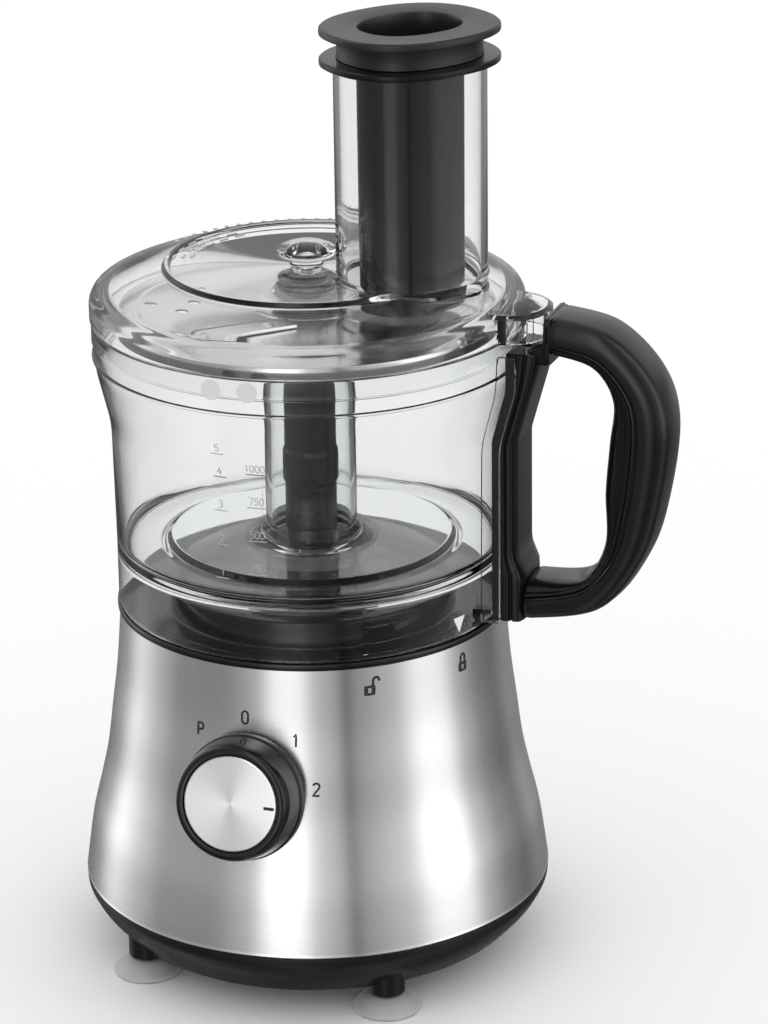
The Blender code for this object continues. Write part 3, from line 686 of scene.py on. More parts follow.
def squared_oval(half_long: float, half_short: float, squareness: float, count: int = 96) -> list[Point2]:
    """A superellipse about the origin: squareness 2 is an ellipse, more has fuller corners.

    Args:
        half_long: Half the long axis.
        half_short: Half the short axis.
        squareness: Two is an ellipse and more is squarer.
        count: Number of points.

    Returns:
        The outline.
    """
    power = 2.0 / squareness
    found = []
    for i in range(count):
        c = math.cos(TAU * i / count)
        s = math.sin(TAU * i / count)
        found.append(
            (half_long * math.copysign(abs(c) ** power, c), half_short * math.copysign(abs(s) ** power, s))
        )
    return found


class Drawing:
    """Turns the drawing's millimetres about the drive axis into pieces in the row frame."""

    def __init__(self) -> None:
        """Finds the drive axis from the frame's coupling."""
        low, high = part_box("drive_coupling")
        self.axis = Vector(((low.x + high.x) / 2.0, (low.y + high.y) / 2.0, 0.0))

    def at(self, x: float, y: float, z: float) -> Vector:
        """A drawing point in the row frame, in metres."""
        return self.axis + Vector((x, y, z)) * MM

    @staticmethod
    def heights(node: str) -> tuple[float, float]:
        """Lowest and highest z of a frame node, in millimetres."""
        low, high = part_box(node)
        return low.z / MM, high.z / MM

    def piece(
        self,
        name: str,
        mesh: bpy.types.Mesh,
        finish: Finish,
        body: Body,
        replaces: Sequence[str] = (),
        place: Matrix | None = None,
        crease: float = 38.0,
    ) -> bpy.types.Object:
        """Makes one finished piece of a mesh.

        Args:
            name: The piece's name.
            mesh: Its mesh, in metres, in the row frame or in the frame that place gives.
            finish: Its finish.
            body: The body that it rides on.
            replaces: Frame nodes that it stands for.
            place: The object's own frame, for a mesh made about its own axis.
            crease: Edges that turn more than this many degrees stay sharp.

        Returns:
            The piece's object.
        """
        mesh.shade_smooth()
        mesh.set_sharp_from_angle(angle=math.radians(crease))
        mesh.materials.append(finish.material())
        made = bpy.data.objects.new(name, mesh)
        bpy.context.scene.collection.objects.link(made)
        if place is not None:
            made.matrix_world = place
        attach(made, body.value)
        if replaces:
            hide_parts(*replaces)
        LOG.info("%s rides on %s in %s", name, body.value, finish.name)
        return made

    def skin(self, name: str, rings: np.ndarray, closed_rings: bool, ends: Ends) -> bpy.types.Mesh:
        """A mesh over rings of points.

        Args:
            name: The mesh's name.
            rings: Points as rings x points x 3, in metres.
            closed_rings: Whether the last ring joins the first.
            ends: Whether the first and last ring are closed with a face.

        Returns:
            The mesh, with its faces pointing out.
        """
        count, around = rings.shape[:2]
        faces: list[tuple[int, ...]] = []
        for i in range(count if closed_rings else count - 1):
            below = (i % count) * around
            above = ((i + 1) % count) * around
            for k in range(around):
                n = (k + 1) % around
                faces.append((below + k, below + n, above + n, above + k))
        if ends == Ends.CAPPED and not closed_rings:
            faces.append(tuple(reversed(range(around))))
            faces.append(tuple((count - 1) * around + k for k in range(around)))
        mesh = bpy.data.meshes.new(name)
        mesh.from_pydata(rings.reshape(-1, 3).tolist(), [], faces)
        mesh.validate()
        self.face_out(mesh)
        return mesh

    @staticmethod
    def face_out(mesh: bpy.types.Mesh) -> None:
        """Turns the mesh's faces outwards and welds points that meet.

        Args:
            mesh: The closed mesh whose faces are turned.
        """
        bm = bmesh.new()
        bm.from_mesh(mesh)
        bmesh.ops.remove_doubles(bm, verts=bm.verts, dist=1e-7)
        bmesh.ops.recalc_face_normals(bm, faces=bm.faces)
        bm.to_mesh(mesh)
        bm.free()

    def lathe(
        self,
        name: str,
        outline: Sequence[Point2],
        segments: int = 160,
        centre: Point2 = (0.0, 0.0),
        flat: bool = False,
    ) -> bpy.types.Mesh:
        """A turned shape.

        Args:
            name: The mesh's name.
            outline: (radius, height) points; one that starts and ends on the axis is solid, any other a ring.
            segments: Steps round the axis.
            centre: The axis, from the drive axis.
            flat: Leaves the mesh about its own origin instead of the row frame.

        Returns:
            The mesh.
        """
        angles = np.arange(segments) * TAU / segments
        turned = np.array(outline, float)
        rings = np.zeros((len(outline), segments, 3))
        rings[:, :, 0] = turned[:, :1] * np.cos(angles)
        rings[:, :, 1] = turned[:, :1] * np.sin(angles)
        rings[:, :, 2] = turned[:, 1:]
        on_axis = outline[0][0] < 1e-6 and outline[-1][0] < 1e-6
        origin = Vector((0.0, 0.0, 0.0)) if flat else self.at(centre[0], centre[1], 0.0)
        return self.skin(name, rings * MM + np.array(origin), not on_axis, Ends.OPEN)

    def stack(
        self,
        name: str,
        levels: Sequence[tuple[Sequence[Point2], float]],
        ends: Ends = Ends.CAPPED,
        closed: bool = False,
    ) -> bpy.types.Mesh:
        """A shape through upright levels, each an outline at a height."""
        rings = np.array([[(x, y, z) for x, y in outline] for outline, z in levels], float)
        return self.skin(name, rings * MM + np.array(self.axis), closed, ends)

    def wrap(self, name: str, mesh_parts: Sequence[bpy.types.Mesh]) -> bpy.types.Mesh:
        """Several meshes as one, for small marks that make up one print.

        Args:
            name: The new mesh's name.
            mesh_parts: The meshes that go into it.

        Returns:
            The one mesh.
        """
        bm = bmesh.new()
        for part in mesh_parts:
            bm.from_mesh(part)
            bpy.data.meshes.remove(part)
        made = bpy.data.meshes.new(name)
        bm.to_mesh(made)
        bm.free()
        return made

    def slab(self, name: str, outline: Sequence[Point2], one: float, other: float) -> bpy.types.Mesh:
        """An upright plate: its outline is (x, z), and it fills y from one to other.

        Args:
            name: The mesh's name.
            outline: Corners seen from the side, as reach and height.
            one: Where the slab starts across.
            other: Where it ends.

        Returns:
            The mesh.
        """
        low, high = min(one, other), max(one, other)
        rings = np.array([[(x, y, z) for x, z in outline] for y in (low, high)], float)
        return self.skin(name, rings * MM + np.array(self.axis), False, Ends.CAPPED)

    def box(self, name: str, low: Point3, high: Point3) -> bpy.types.Mesh:
        """A plain block, for cutting or joining."""
        outline = [(low[0], low[1]), (high[0], low[1]), (high[0], high[1]), (low[0], high[1])]
        return self.stack(name, [(outline, low[2]), (outline, high[2])])

    def patch(
        self, name: str, outline: Sequence[Point2], origin: Point2, surface: Surface, lift: float
    ) -> bpy.types.Mesh:
        """A thin closed patch laid on a surface, from a convex outline about its own middle.

        Args:
            name: The mesh's name.
            outline: Corners about the origin.
            origin: Arc length and height of the middle.
            surface: The surface it lies on.
            lift: How far it stands out.

        Returns:
            The mesh.
        """
        rings = []
        for out in (0.0, lift):
            ring = [tuple(surface(origin[0] + u, origin[1] + v, out)) for u, v in outline]
            rings.append(ring)
        return self.skin(name, np.array(rings), False, Ends.CAPPED)

    @staticmethod
    def combine(base: bpy.types.Mesh, others: Sequence[bpy.types.Mesh], operation: Join) -> bpy.types.Mesh:
        """Joins meshes to a base or cuts them from it.

        Args:
            base: The mesh that is changed.
            others: The meshes joined to it or cut from it.
            operation: Whether they are added or cut away.

        Returns:
            The new mesh; the old ones are removed.
        """
        scene = bpy.context.scene.collection
        main_object = bpy.data.objects.new(base.name, base)
        scene.objects.link(main_object)
        helpers = []
        for other in others:
            helper = bpy.data.objects.new(other.name, other)
            scene.objects.link(helper)
            helpers.append(helper)
            step = main_object.modifiers.new("combine", "BOOLEAN")
            step.operation = operation.value
            step.solver = "EXACT"
            step.object = helper
        evaluated = main_object.evaluated_get(bpy.context.evaluated_depsgraph_get())
        made = bpy.data.meshes.new_from_object(evaluated)
        for helper in (main_object, *helpers):
            mesh = helper.data
            bpy.data.objects.remove(helper)
            bpy.data.meshes.remove(mesh)
        return made


# Prints and small marks


@dataclass(frozen=True)
class Stroke:
    """One pen stroke of a mark, in units of the mark's height, drawn between its points."""

    points: tuple[Point2, ...]
    closed: bool = False


def bow(centre: Point2, radii: Point2, start: float, end: float, steps: int = 12) -> tuple[Point2, ...]:
    """Points on an arc, angles in degrees.

    Args:
        centre: Centre of the arc.
        radii: Its reach across and up.
        start: First angle in degrees.
        end: Last angle in degrees.
        steps: Number of pieces.

    Returns:
        The arc's points.
    """
    found = []
    for i in range(steps + 1):
        angle = math.radians(start + (end - start) * i / steps)
        found.append((centre[0] + radii[0] * math.cos(angle), centre[1] + radii[1] * math.sin(angle)))
    return tuple(found)


def lock_body(left: float, right: float, top: float) -> tuple[Stroke, ...]:
    """A padlock's body: its outline and the rows that fill it on both sides of the keyhole.

    Args:
        left: Left edge, in units of the mark's height.
        right: Right edge.
        top: Upper edge.

    Returns:
        The strokes.
    """
    low = -0.5
    middle = (left + right) / 2.0
    outline = Stroke(((left, top), (right, top), (right, low), (left, low)), True)
    rows = [top + (low - top) * k / 3.0 for k in (1, 2)]
    sides = ((left, middle - 0.1), (middle + 0.1, right))
    return (outline, *(Stroke(((start, y), (end, y))) for y in rows for start, end in sides))


GLYPHS: dict[str, tuple[Stroke, ...]] = {
    "0": (Stroke(bow((0.0, 0.22), (0.25, 0.28), 0, 180) + bow((0.0, -0.22), (0.25, 0.28), 180, 360), True),),
    "1": (Stroke(((-0.16, 0.3), (0.04, 0.5), (0.04, -0.5))),),
    "2": (Stroke(bow((0.0, 0.24), (0.26, 0.26), 160, -35, 10) + ((-0.26, -0.5), (0.28, -0.5))),),
    "3": (
        Stroke(
            bow((-0.02, 0.25), (0.24, 0.25), 150, -85, 9) + bow((-0.02, -0.24), (0.27, 0.26), 85, -150, 9)
        ),
    ),
    "4": (Stroke(((0.12, -0.5), (0.12, 0.5), (-0.28, -0.16), (0.3, -0.16))),),
    "5": (Stroke(((0.24, 0.5), (-0.2, 0.5), (-0.22, 0.06)) + bow((0.0, -0.18), (0.26, 0.3), 130, -150, 10)),),
    "7": (Stroke(((-0.26, 0.5), (0.26, 0.5), (-0.06, -0.5))),),
    "P": (
        Stroke(
            ((-0.22, -0.5), (-0.22, 0.5), (0.05, 0.5))
            + bow((0.05, 0.24), (0.22, 0.26), 90, -90, 9)
            + ((-0.22, -0.02),)
        ),
    ),
    "shut": (
        *lock_body(-0.26, 0.26, -0.1),
        Stroke(((-0.17, -0.1), (-0.17, 0.2)) + bow((0.0, 0.22), (0.17, 0.22), 180, 0, 9) + ((0.17, -0.1),)),
    ),
    "open": (
        *lock_body(-0.3, 0.22, -0.06),
        Stroke(((0.14, -0.06), (0.14, 0.2)) + bow((0.32, 0.22), (0.18, 0.24), 180, 0, 9)),
    ),
    "bar": (Stroke(((-0.5, 0.0), (0.5, 0.0))),),
}

Surface = Callable[[float, float, float], Vector]


class Printer:
    """Lays marks on a curved surface as thin raised ribbons of ink."""

    def __init__(self, drawing: Drawing) -> None:
        """Keeps the drawing that it prints in."""
        self.drawing = drawing

    def ribbon(
        self,
        name: str,
        stroke: Stroke,
        origin: Point2,
        height: float,
        pen: float,
        surface: Surface,
        lift: float,
    ) -> bpy.types.Mesh:
        """One stroke as a closed ribbon.

        Args:
            name: The mesh's name.
            stroke: The stroke in units of the mark's height.
            origin: The mark's middle on the surface, in millimetres.
            height: The mark's height in millimetres.
            pen: The ribbon's width in millimetres.
            surface: Takes (across, up, out) in millimetres to a row-frame point.
            lift: How far the ribbon stands out, in millimetres.

        Returns:
            The ribbon's mesh.
        """
        line = [Vector(p) * height + Vector(origin) for p in stroke.points]
        fine: list[Vector] = []
        pairs = list(zip(line, line[1:] + line[:1])) if stroke.closed else list(zip(line, line[1:]))
        for a, b in pairs:
            steps = max(1, int((b - a).length / 1.2))
            fine.extend(a.lerp(b, k / steps) for k in range(steps))
        if not stroke.closed:
            fine.append(line[-1])
        rings = []
        count = len(fine)
        for i, point in enumerate(fine):
            before = fine[(i - 1) % count] if stroke.closed else fine[max(i - 1, 0)]
            after = fine[(i + 1) % count] if stroke.closed else fine[min(i + 1, count - 1)]
            along = (after - before).normalized() if (after - before).length > 1e-6 else Vector((1.0, 0.0))
            side = Vector((-along.y, along.x)) * pen / 2.0
            corners = ((side, 0.0), (side, lift), (-side, lift), (-side, 0.0))
            rings.append([tuple(surface(point.x + s.x, point.y + s.y, out)) for s, out in corners])
        return self.drawing.skin(name, np.array(rings), stroke.closed, Ends.CAPPED)

    def word(
        self,
        name: str,
        glyphs: str | Sequence[str],
        origin: Point2,
        height: float,
        pen: float,
        surface: Surface,
        lift: float = 0.12,
    ) -> bpy.types.Mesh:
        """A row of marks centred on origin, as one mesh.

        Args:
            name: The mesh's name.
            glyphs: Keys of the marks, in reading order.
            origin: Arc length and height of the middle.
            height: Height of one mark.
            pen: Width of the stroke.
            surface: The surface printed on.
            lift: How far the print stands out.

        Returns:
            The mesh.
        """
        parts = []
        pitch = height * 0.72
        for k, glyph in enumerate(glyphs):
            shift = (k - (len(glyphs) - 1) / 2.0) * pitch
            for stroke in GLYPHS[glyph]:
                parts.append(
                    self.ribbon(name, stroke, (origin[0] + shift, origin[1]), height, pen, surface, lift)
                )
        return self.drawing.wrap(name, parts)


# Sub-assemblies


@dataclass
class Housing:
    """The base: flared shell, tray, deck, feet and gland."""

    drawing: Drawing
    shell_thickness: float = 0.8
    hem: float = 0.5
    foot_x: float = 51.7
    foot_y: float = 61.0
    pillar_x: float = 58.0
    pillar_y: float = 28.0
    gland_height: float = 21.0
    lug_spread: float = 1.15
    lug_turn: float = 0.4
    lock_height: float = 138.6
    lock_size: float = 7.0
    locks: tuple[tuple[str, float], ...] = (("open", -53.0), ("shut", -21.0))
    flare: tuple[Point2, ...] = (
        (95.0, 31.0),
        (93.6, 41.5),
        (91.3, 55.7),
        (87.8, 70.0),
        (84.6, 84.7),
        (82.1, 103.0),
        (79.6, 122.0),
        (77.6, 146.0),
    )
    wall: list[Vector] = field(default_factory=list)

    def __post_init__(self) -> None:
        """Smooths the shell's flare once, for the mesh and for what is printed on it."""
        self.wall = flowing(self.flare, 8)

    def radius_at(self, z: float) -> float:
        """The shell's outer radius at a height."""
        return float(np.interp(z, [p.y for p in self.wall], [p.x for p in self.wall]))

    def on_shell(self, across: float, up: float, out: float) -> Vector:
        """A point on the shell from its arc length round from the front, its height and its distance out.

        Args:
            across: Arc length round from the front.
            up: Height.
            out: Distance out of the surface.

        Returns:
            The point in metres.
        """
        reach = self.radius_at(up) + out
        angle = -math.pi / 2.0 + across / self.radius_at(up)
        return self.drawing.at(reach * math.cos(angle), reach * math.sin(angle), up)

    def build(self) -> None:
        """Makes every piece of the base that shows."""
        self.make_shell()
        self.make_tray()
        self.make_deck()
        self.make_feet()
        self.make_gland()
        self.print_locks()

    def make_shell(self) -> None:
        """The steel shell with a rolled hem at its lower end."""
        outer = [(p.x, p.y) for p in self.wall]
        outer[0] = (outer[0][0] - 0.25, outer[0][1] + 0.05)
        inner = [(r - self.shell_thickness, z) for r, z in reversed(outer)]
        hem_low = [(outer[0][0] + 0.25, outer[0][1] + self.hem)]
        profile = [outer[0], *hem_low, *outer[1:], *inner]
        mesh = self.drawing.lathe("base_shell_skin", profile, 224)
        self.drawing.piece("steel_shell", mesh, STEEL, Body.BASE, ["base_shell"])

    def make_tray(self) -> None:
        """The black tray: a lip under the shell, a bowl-shaped side and a floor, with a post over each foot.
        """
        corners = [
            (0.0, 12.4, 0.0),
            (78.0, 12.4, 1.0),
            (90.0, 26.5, 1.0),
            (90.0, 34.5, 0.3),
            (92.0, 34.5, 0.3),
            (92.6, 30.7, 0.2),
            (94.9, 30.7, 0.35),
            (94.9, 27.4, 2.5),
            (91.2, 20.4, 5.0),
            (81.5, 10.0, 3.0),
            (62.0, 10.0, 0.4),
            (61.4, 10.8, 0.4),
            (0.0, 10.8, 0.0),
        ]
        mesh = self.drawing.lathe("tray_skin", rounded(corners, closed=False), 160)
        self.drawing.piece("bottom_tray_shell", mesh, SATIN_BLACK, Body.BASE, ["bottom_tray"])
        for side in (-1, 1):
            for end in (-1, 1):
                centre = (side * self.foot_x, end * self.foot_y)
                post = rounded(
                    [
                        (0.0, 22.0, 0.0),
                        (7.3, 22.0, 0.2),
                        (7.3, 7.2, 0.8),
                        (4.2, 6.6, 0.3),
                        (4.2, 12.9, 0.0),
                        (0.0, 12.9, 0.0),
                    ],
                    closed=False,
                )
                tag = f"{'right' if side > 0 else 'left'}_{'back' if end > 0 else 'front'}"
                self.drawing.piece(
                    f"foot_post_{tag}", self.drawing.lathe(tag, post, 64, centre), SATIN_BLACK, Body.BASE
                )

    def make_deck(self) -> None:
        """The black deck under the bowl: collar, floor, grooved turret and boss."""
        corners = [
            (8.3, 170.0, 0.3),
            (19.5, 170.0, 0.8),
            (20.5, 158.0, 1.0),
            (34.0, 158.0, 0.4),
            (34.4, 157.2, 0.3),
            (37.0, 157.2, 0.3),
            (37.4, 158.0, 0.4),
            (55.5, 158.0, 1.2),
            (56.5, 147.0, 1.0),
            (65.0, 147.0, 0.3),
            (65.3, 146.6, 0.2),
            (74.0, 146.6, 0.3),
            (76.3, 147.2, 0.3),
            (76.5, 149.0, 0.3),
            (78.5, 149.0, 0.6),
            (78.7, 147.6, 0.4),
            (78.5, 146.3, 0.3),
            (76.2, 146.3, 0.2),
            (76.2, 138.0, 0.2),
            (74.2, 138.0, 0.2),
            (74.2, 144.5, 0.3),
            (54.0, 144.5, 0.3),
            (53.0, 155.6, 0.3),
            (17.0, 155.6, 0.3),
            (16.0, 150.0, 0.3),
            (8.3, 150.0, 0.3),
        ]
        mesh = self.drawing.lathe("deck_skin", rounded(corners, 4), 192)
        self.drawing.piece("deck_moulding", mesh, GLOSS_BLACK, Body.BASE, ["top_deck"])
        for side in (-1, 1):
            steps = ((0.0, 150.5), (0.0, 155.2), (-0.5, 155.8))
            middle = side * self.lug_spread + self.lug_turn
            lug = self.drawing.stack("lug", [(self.lug_outline(middle, grow), z) for grow, z in steps])
            self.drawing.piece(f"bayonet_lug_{'back' if side > 0 else 'front'}", lug, GLOSS_BLACK, Body.BASE)
            pillar = [(0.0, 145.0), (4.0, 145.0), (4.0, 14.6), (0.0, 14.6)]
            for end in (-1, 1):
                mesh = self.drawing.lathe("pillar", pillar, 32, (side * self.pillar_x, end * self.pillar_y))
                tag = f"{'right' if side > 0 else 'left'}_{'back' if end > 0 else 'front'}"
                self.drawing.piece(f"deck_pillar_{tag}", mesh, GLOSS_BLACK, Body.BASE)

    @staticmethod
    def lug_outline(middle: float, grow: float) -> list[Point2]:
        """A curved lug on the turret's side.

        Args:
            middle: The lug's angle in radians.
            grow: How much larger the outline is drawn.

        Returns:
            The plan outline.
        """
        angles = [middle + 0.2 * (i / 12.0 - 0.5) for i in range(13)]
        outer = [((59.4 + grow) * math.cos(a), (59.4 + grow) * math.sin(a)) for a in angles]
        inner = [(55.0 * math.cos(a), 55.0 * math.sin(a)) for a in reversed(angles)]
        return outer + inner

    def make_feet(self) -> None:
        """Four suction cups with a rolled lip and a stalk on top."""
        corners = [
            (0.0, 12.6, 0.0),
            (3.5, 12.6, 0.4),
            (3.5, 6.3, 0.4),
            (6.6, 6.1, 0.8),
            (9.6, 4.9, 1.5),
            (12.6, 2.3, 1.2),
            (13.5, 1.1, 0.4),
            (13.5, 0.0, 0.3),
            (10.5, 0.0, 0.3),
            (8.0, 2.4, 1.5),
            (0.0, 3.6, 0.0),
        ]
        for i, (side, end) in enumerate(SQUARE):
            mesh = self.drawing.lathe(
                "cup", rounded(corners, 5, closed=False), 96, (side * self.foot_x, end * self.foot_y)
            )
            self.drawing.piece(f"suction_cup_{i + 1}", mesh, SILICONE, Body.BASE, [f"suction_foot_{i + 1}"])

    def make_gland(self) -> None:
        """The rubber gland at the back, with ringed grooves along its spout."""
        corners: list[Corner] = [(3.4, 84.0, 0.2), (3.4, 110.0, 0.4), (4.6, 110.0, 0.6)]
        for k in range(5):
            z = 108.0 - 2.0 * k
            r = 4.75 + 0.36 * k
            corners += [
                (r, z, 0.2), (r - 0.7, z - 0.5, 0.2), (r - 0.6, z - 1.0, 0.2), (r + 0.2, z - 1.3, 0.2)
            ]
        corners += [(6.6, 98.0, 0.3), (8.5, 98.0, 0.6), (8.5, 95.7, 0.4), (5.6, 95.6, 0.2), (5.6, 84.0, 0.2)]
        lying = Matrix.Rotation(-math.pi / 2.0, 4, "X")
        place = Matrix.Translation(self.drawing.at(0.0, 0.0, self.gland_height)) @ lying
        mesh = self.drawing.lathe("gland_skin", rounded(corners, 3), 72, flat=True)
        self.drawing.piece("lead_gland", mesh, RUBBER, Body.BASE, ["cord_gland"], place)

    def print_locks(self) -> None:
        """The open and shut padlocks by the collar."""
        printer = Printer(self.drawing)
        front = math.radians(90.0)
        for glyph, azimuth in self.locks:
            name = f"lock_{glyph}_mark"
            across = (math.radians(azimuth) + front) * self.radius_at(self.lock_height)
            place = (across, self.lock_height)
            mesh = printer.word(name, [glyph], place, self.lock_size, 1.0, self.on_shell)
            self.drawing.piece(name, mesh, INK, Body.BASE)


@dataclass
class Dial:
    """The rotary switch's knob, its spun cap and the marks round it."""

    drawing: Drawing
    housing: Housing
    height: float = 95.2
    reach: float = 83.0
    turn: float = math.radians(2.1)
    tilt: float = math.radians(13.0)
    depth: float = 22.0
    speeds: tuple[tuple[str, float, float], ...] = (
        ("P", -18.4, 118.1), ("0", 1.1, 125.9), ("1", 21.4, 117.9), ("2", 30.0, 98.3)
    )

    def frame(self) -> Matrix:
        """The knob's own frame: Z along its axis, out of the shell, and Y up its face.

        Returns:
            The knob's matrix.
        """
        turn = Matrix.Rotation(self.turn, 4, "Z") @ Matrix.Rotation(math.pi / 2.0 - self.tilt, 4, "X")
        place = self.drawing.at(
            self.reach * math.sin(self.turn), -self.reach * math.cos(self.turn), self.height
        )
        return Matrix.Translation(place) @ turn

    def build(self) -> None:
        """Makes the knob, its cap and pointer, and prints the speeds."""
        self.make_knob()
        self.make_cap()
        self.print_speeds()

    def make_knob(self) -> None:
        """The black grip: a skirt, a plain tapered waist and a rounded ring round the cap."""
        outline = rounded(
            [
                (0.0, 19.0, 0.0),
                (19.2, 19.0, 0.2),
                (19.2, self.depth - 0.2, 0.3),
                (20.6, self.depth, 0.6),
                (22.0, self.depth - 0.6, 1.0),
                (23.1, self.depth - 3.2, 1.6),
                (24.3, 9.4, 1.0),
                (24.0, 8.6, 0.5),
                (24.9, 8.0, 0.5),
                (25.0, 4.4, 0.5),
                (23.0, 4.0, 0.4),
                (21.4, 16.4, 0.4),
                (7.0, 16.4, 0.4),
                (7.0, 4.5, 0.4),
                (3.4, 4.5, 0.2),
                (3.4, 15.4, 0.0),
                (0.0, 15.4, 0.0),
            ],
            6,
            closed=False,
        )
        mesh = self.drawing.lathe("knob_skin", outline, 192, flat=True)
        self.drawing.piece(
            "dial_grip", mesh, GLOSS_BLACK, Body.KNOB, ["knob_body"], self.frame(), crease=50.0
        )

    def make_cap(self) -> None:
        """The spun cap with a bevelled edge, and the pointer dash set into it."""
        outline = rounded(
            [
                (0.0, 21.6, 0.0), (18.3, 21.6, 0.25), (18.8, 21.3, 0.2), (18.8, 19.3, 0.0), (0.0, 19.3, 0.0)
            ], 4, closed=False
        )
        mesh = self.drawing.lathe("cap_skin", outline, 192, flat=True)
        self.drawing.piece("spun_cap", mesh, SPUN_CAP, Body.KNOB, ["knob_cap"], self.frame())
        printer = Printer(self.drawing)

        def flat(across: float, up: float, out: float) -> Vector:
            return Vector((across, up, 21.5 + out * 2.0)) * MM

        stroke = Stroke(((-0.5, 0.0), (0.5, 0.0)))
        dash = printer.ribbon("pointer", stroke, (15.9, 0.0), 4.2, 1.2, flat, 0.12)
        self.drawing.piece("pointer_dash", dash, INK, Body.KNOB, place=self.frame())

    def print_speeds(self) -> None:
        """P, 0, 1 and 2 round the knob, each standing upright on the shell."""
        printer = Printer(self.drawing)
        for glyph, across, up in self.speeds:
            mesh = printer.word(f"speed_{glyph}", [glyph], (across, up), 5.0, 0.8, self.housing.on_shell)
            self.drawing.piece(f"speed_mark_{glyph}", mesh, INK, Body.BASE)


@dataclass
class DriveTower:
    """The dark coupling tower in the bowl's tube, with its six-sided peg."""

    drawing: Drawing
    radius: float = 10.3
    top: float = 197.7
    peg_top: float = 222.0

    def build(self) -> None:
        """Makes the tower and its peg as one piece each."""
        corners = [
            (5.4, 170.8, 0.2),
            (5.4, 196.0, 0.2),
            (7.6, 197.2, 0.3),
            (9.4, 197.6, 0.3),
            (self.radius, 196.8, 0.5),
            (self.radius, 170.9, 0.4),
        ]
        mesh = self.drawing.lathe("tower_skin", rounded(corners), 128)
        self.drawing.piece("coupling_tower", mesh, SATIN_BLACK, Body.SPINDLE, ["drive_coupling"])
        six = [(7.6 * math.cos(TAU * i / 6), 7.6 * math.sin(TAU * i / 6), 1.0) for i in range(6)]
        hexagon = rounded(six, 3)
        smaller = [(x * 0.8, y * 0.8) for x, y in hexagon]
        peg = self.drawing.stack("peg", [(hexagon, 196.5), (hexagon, 220.8), (smaller, self.peg_top)])
        self.drawing.piece("coupling_peg", peg, SATIN_BLACK, Body.SPINDLE)


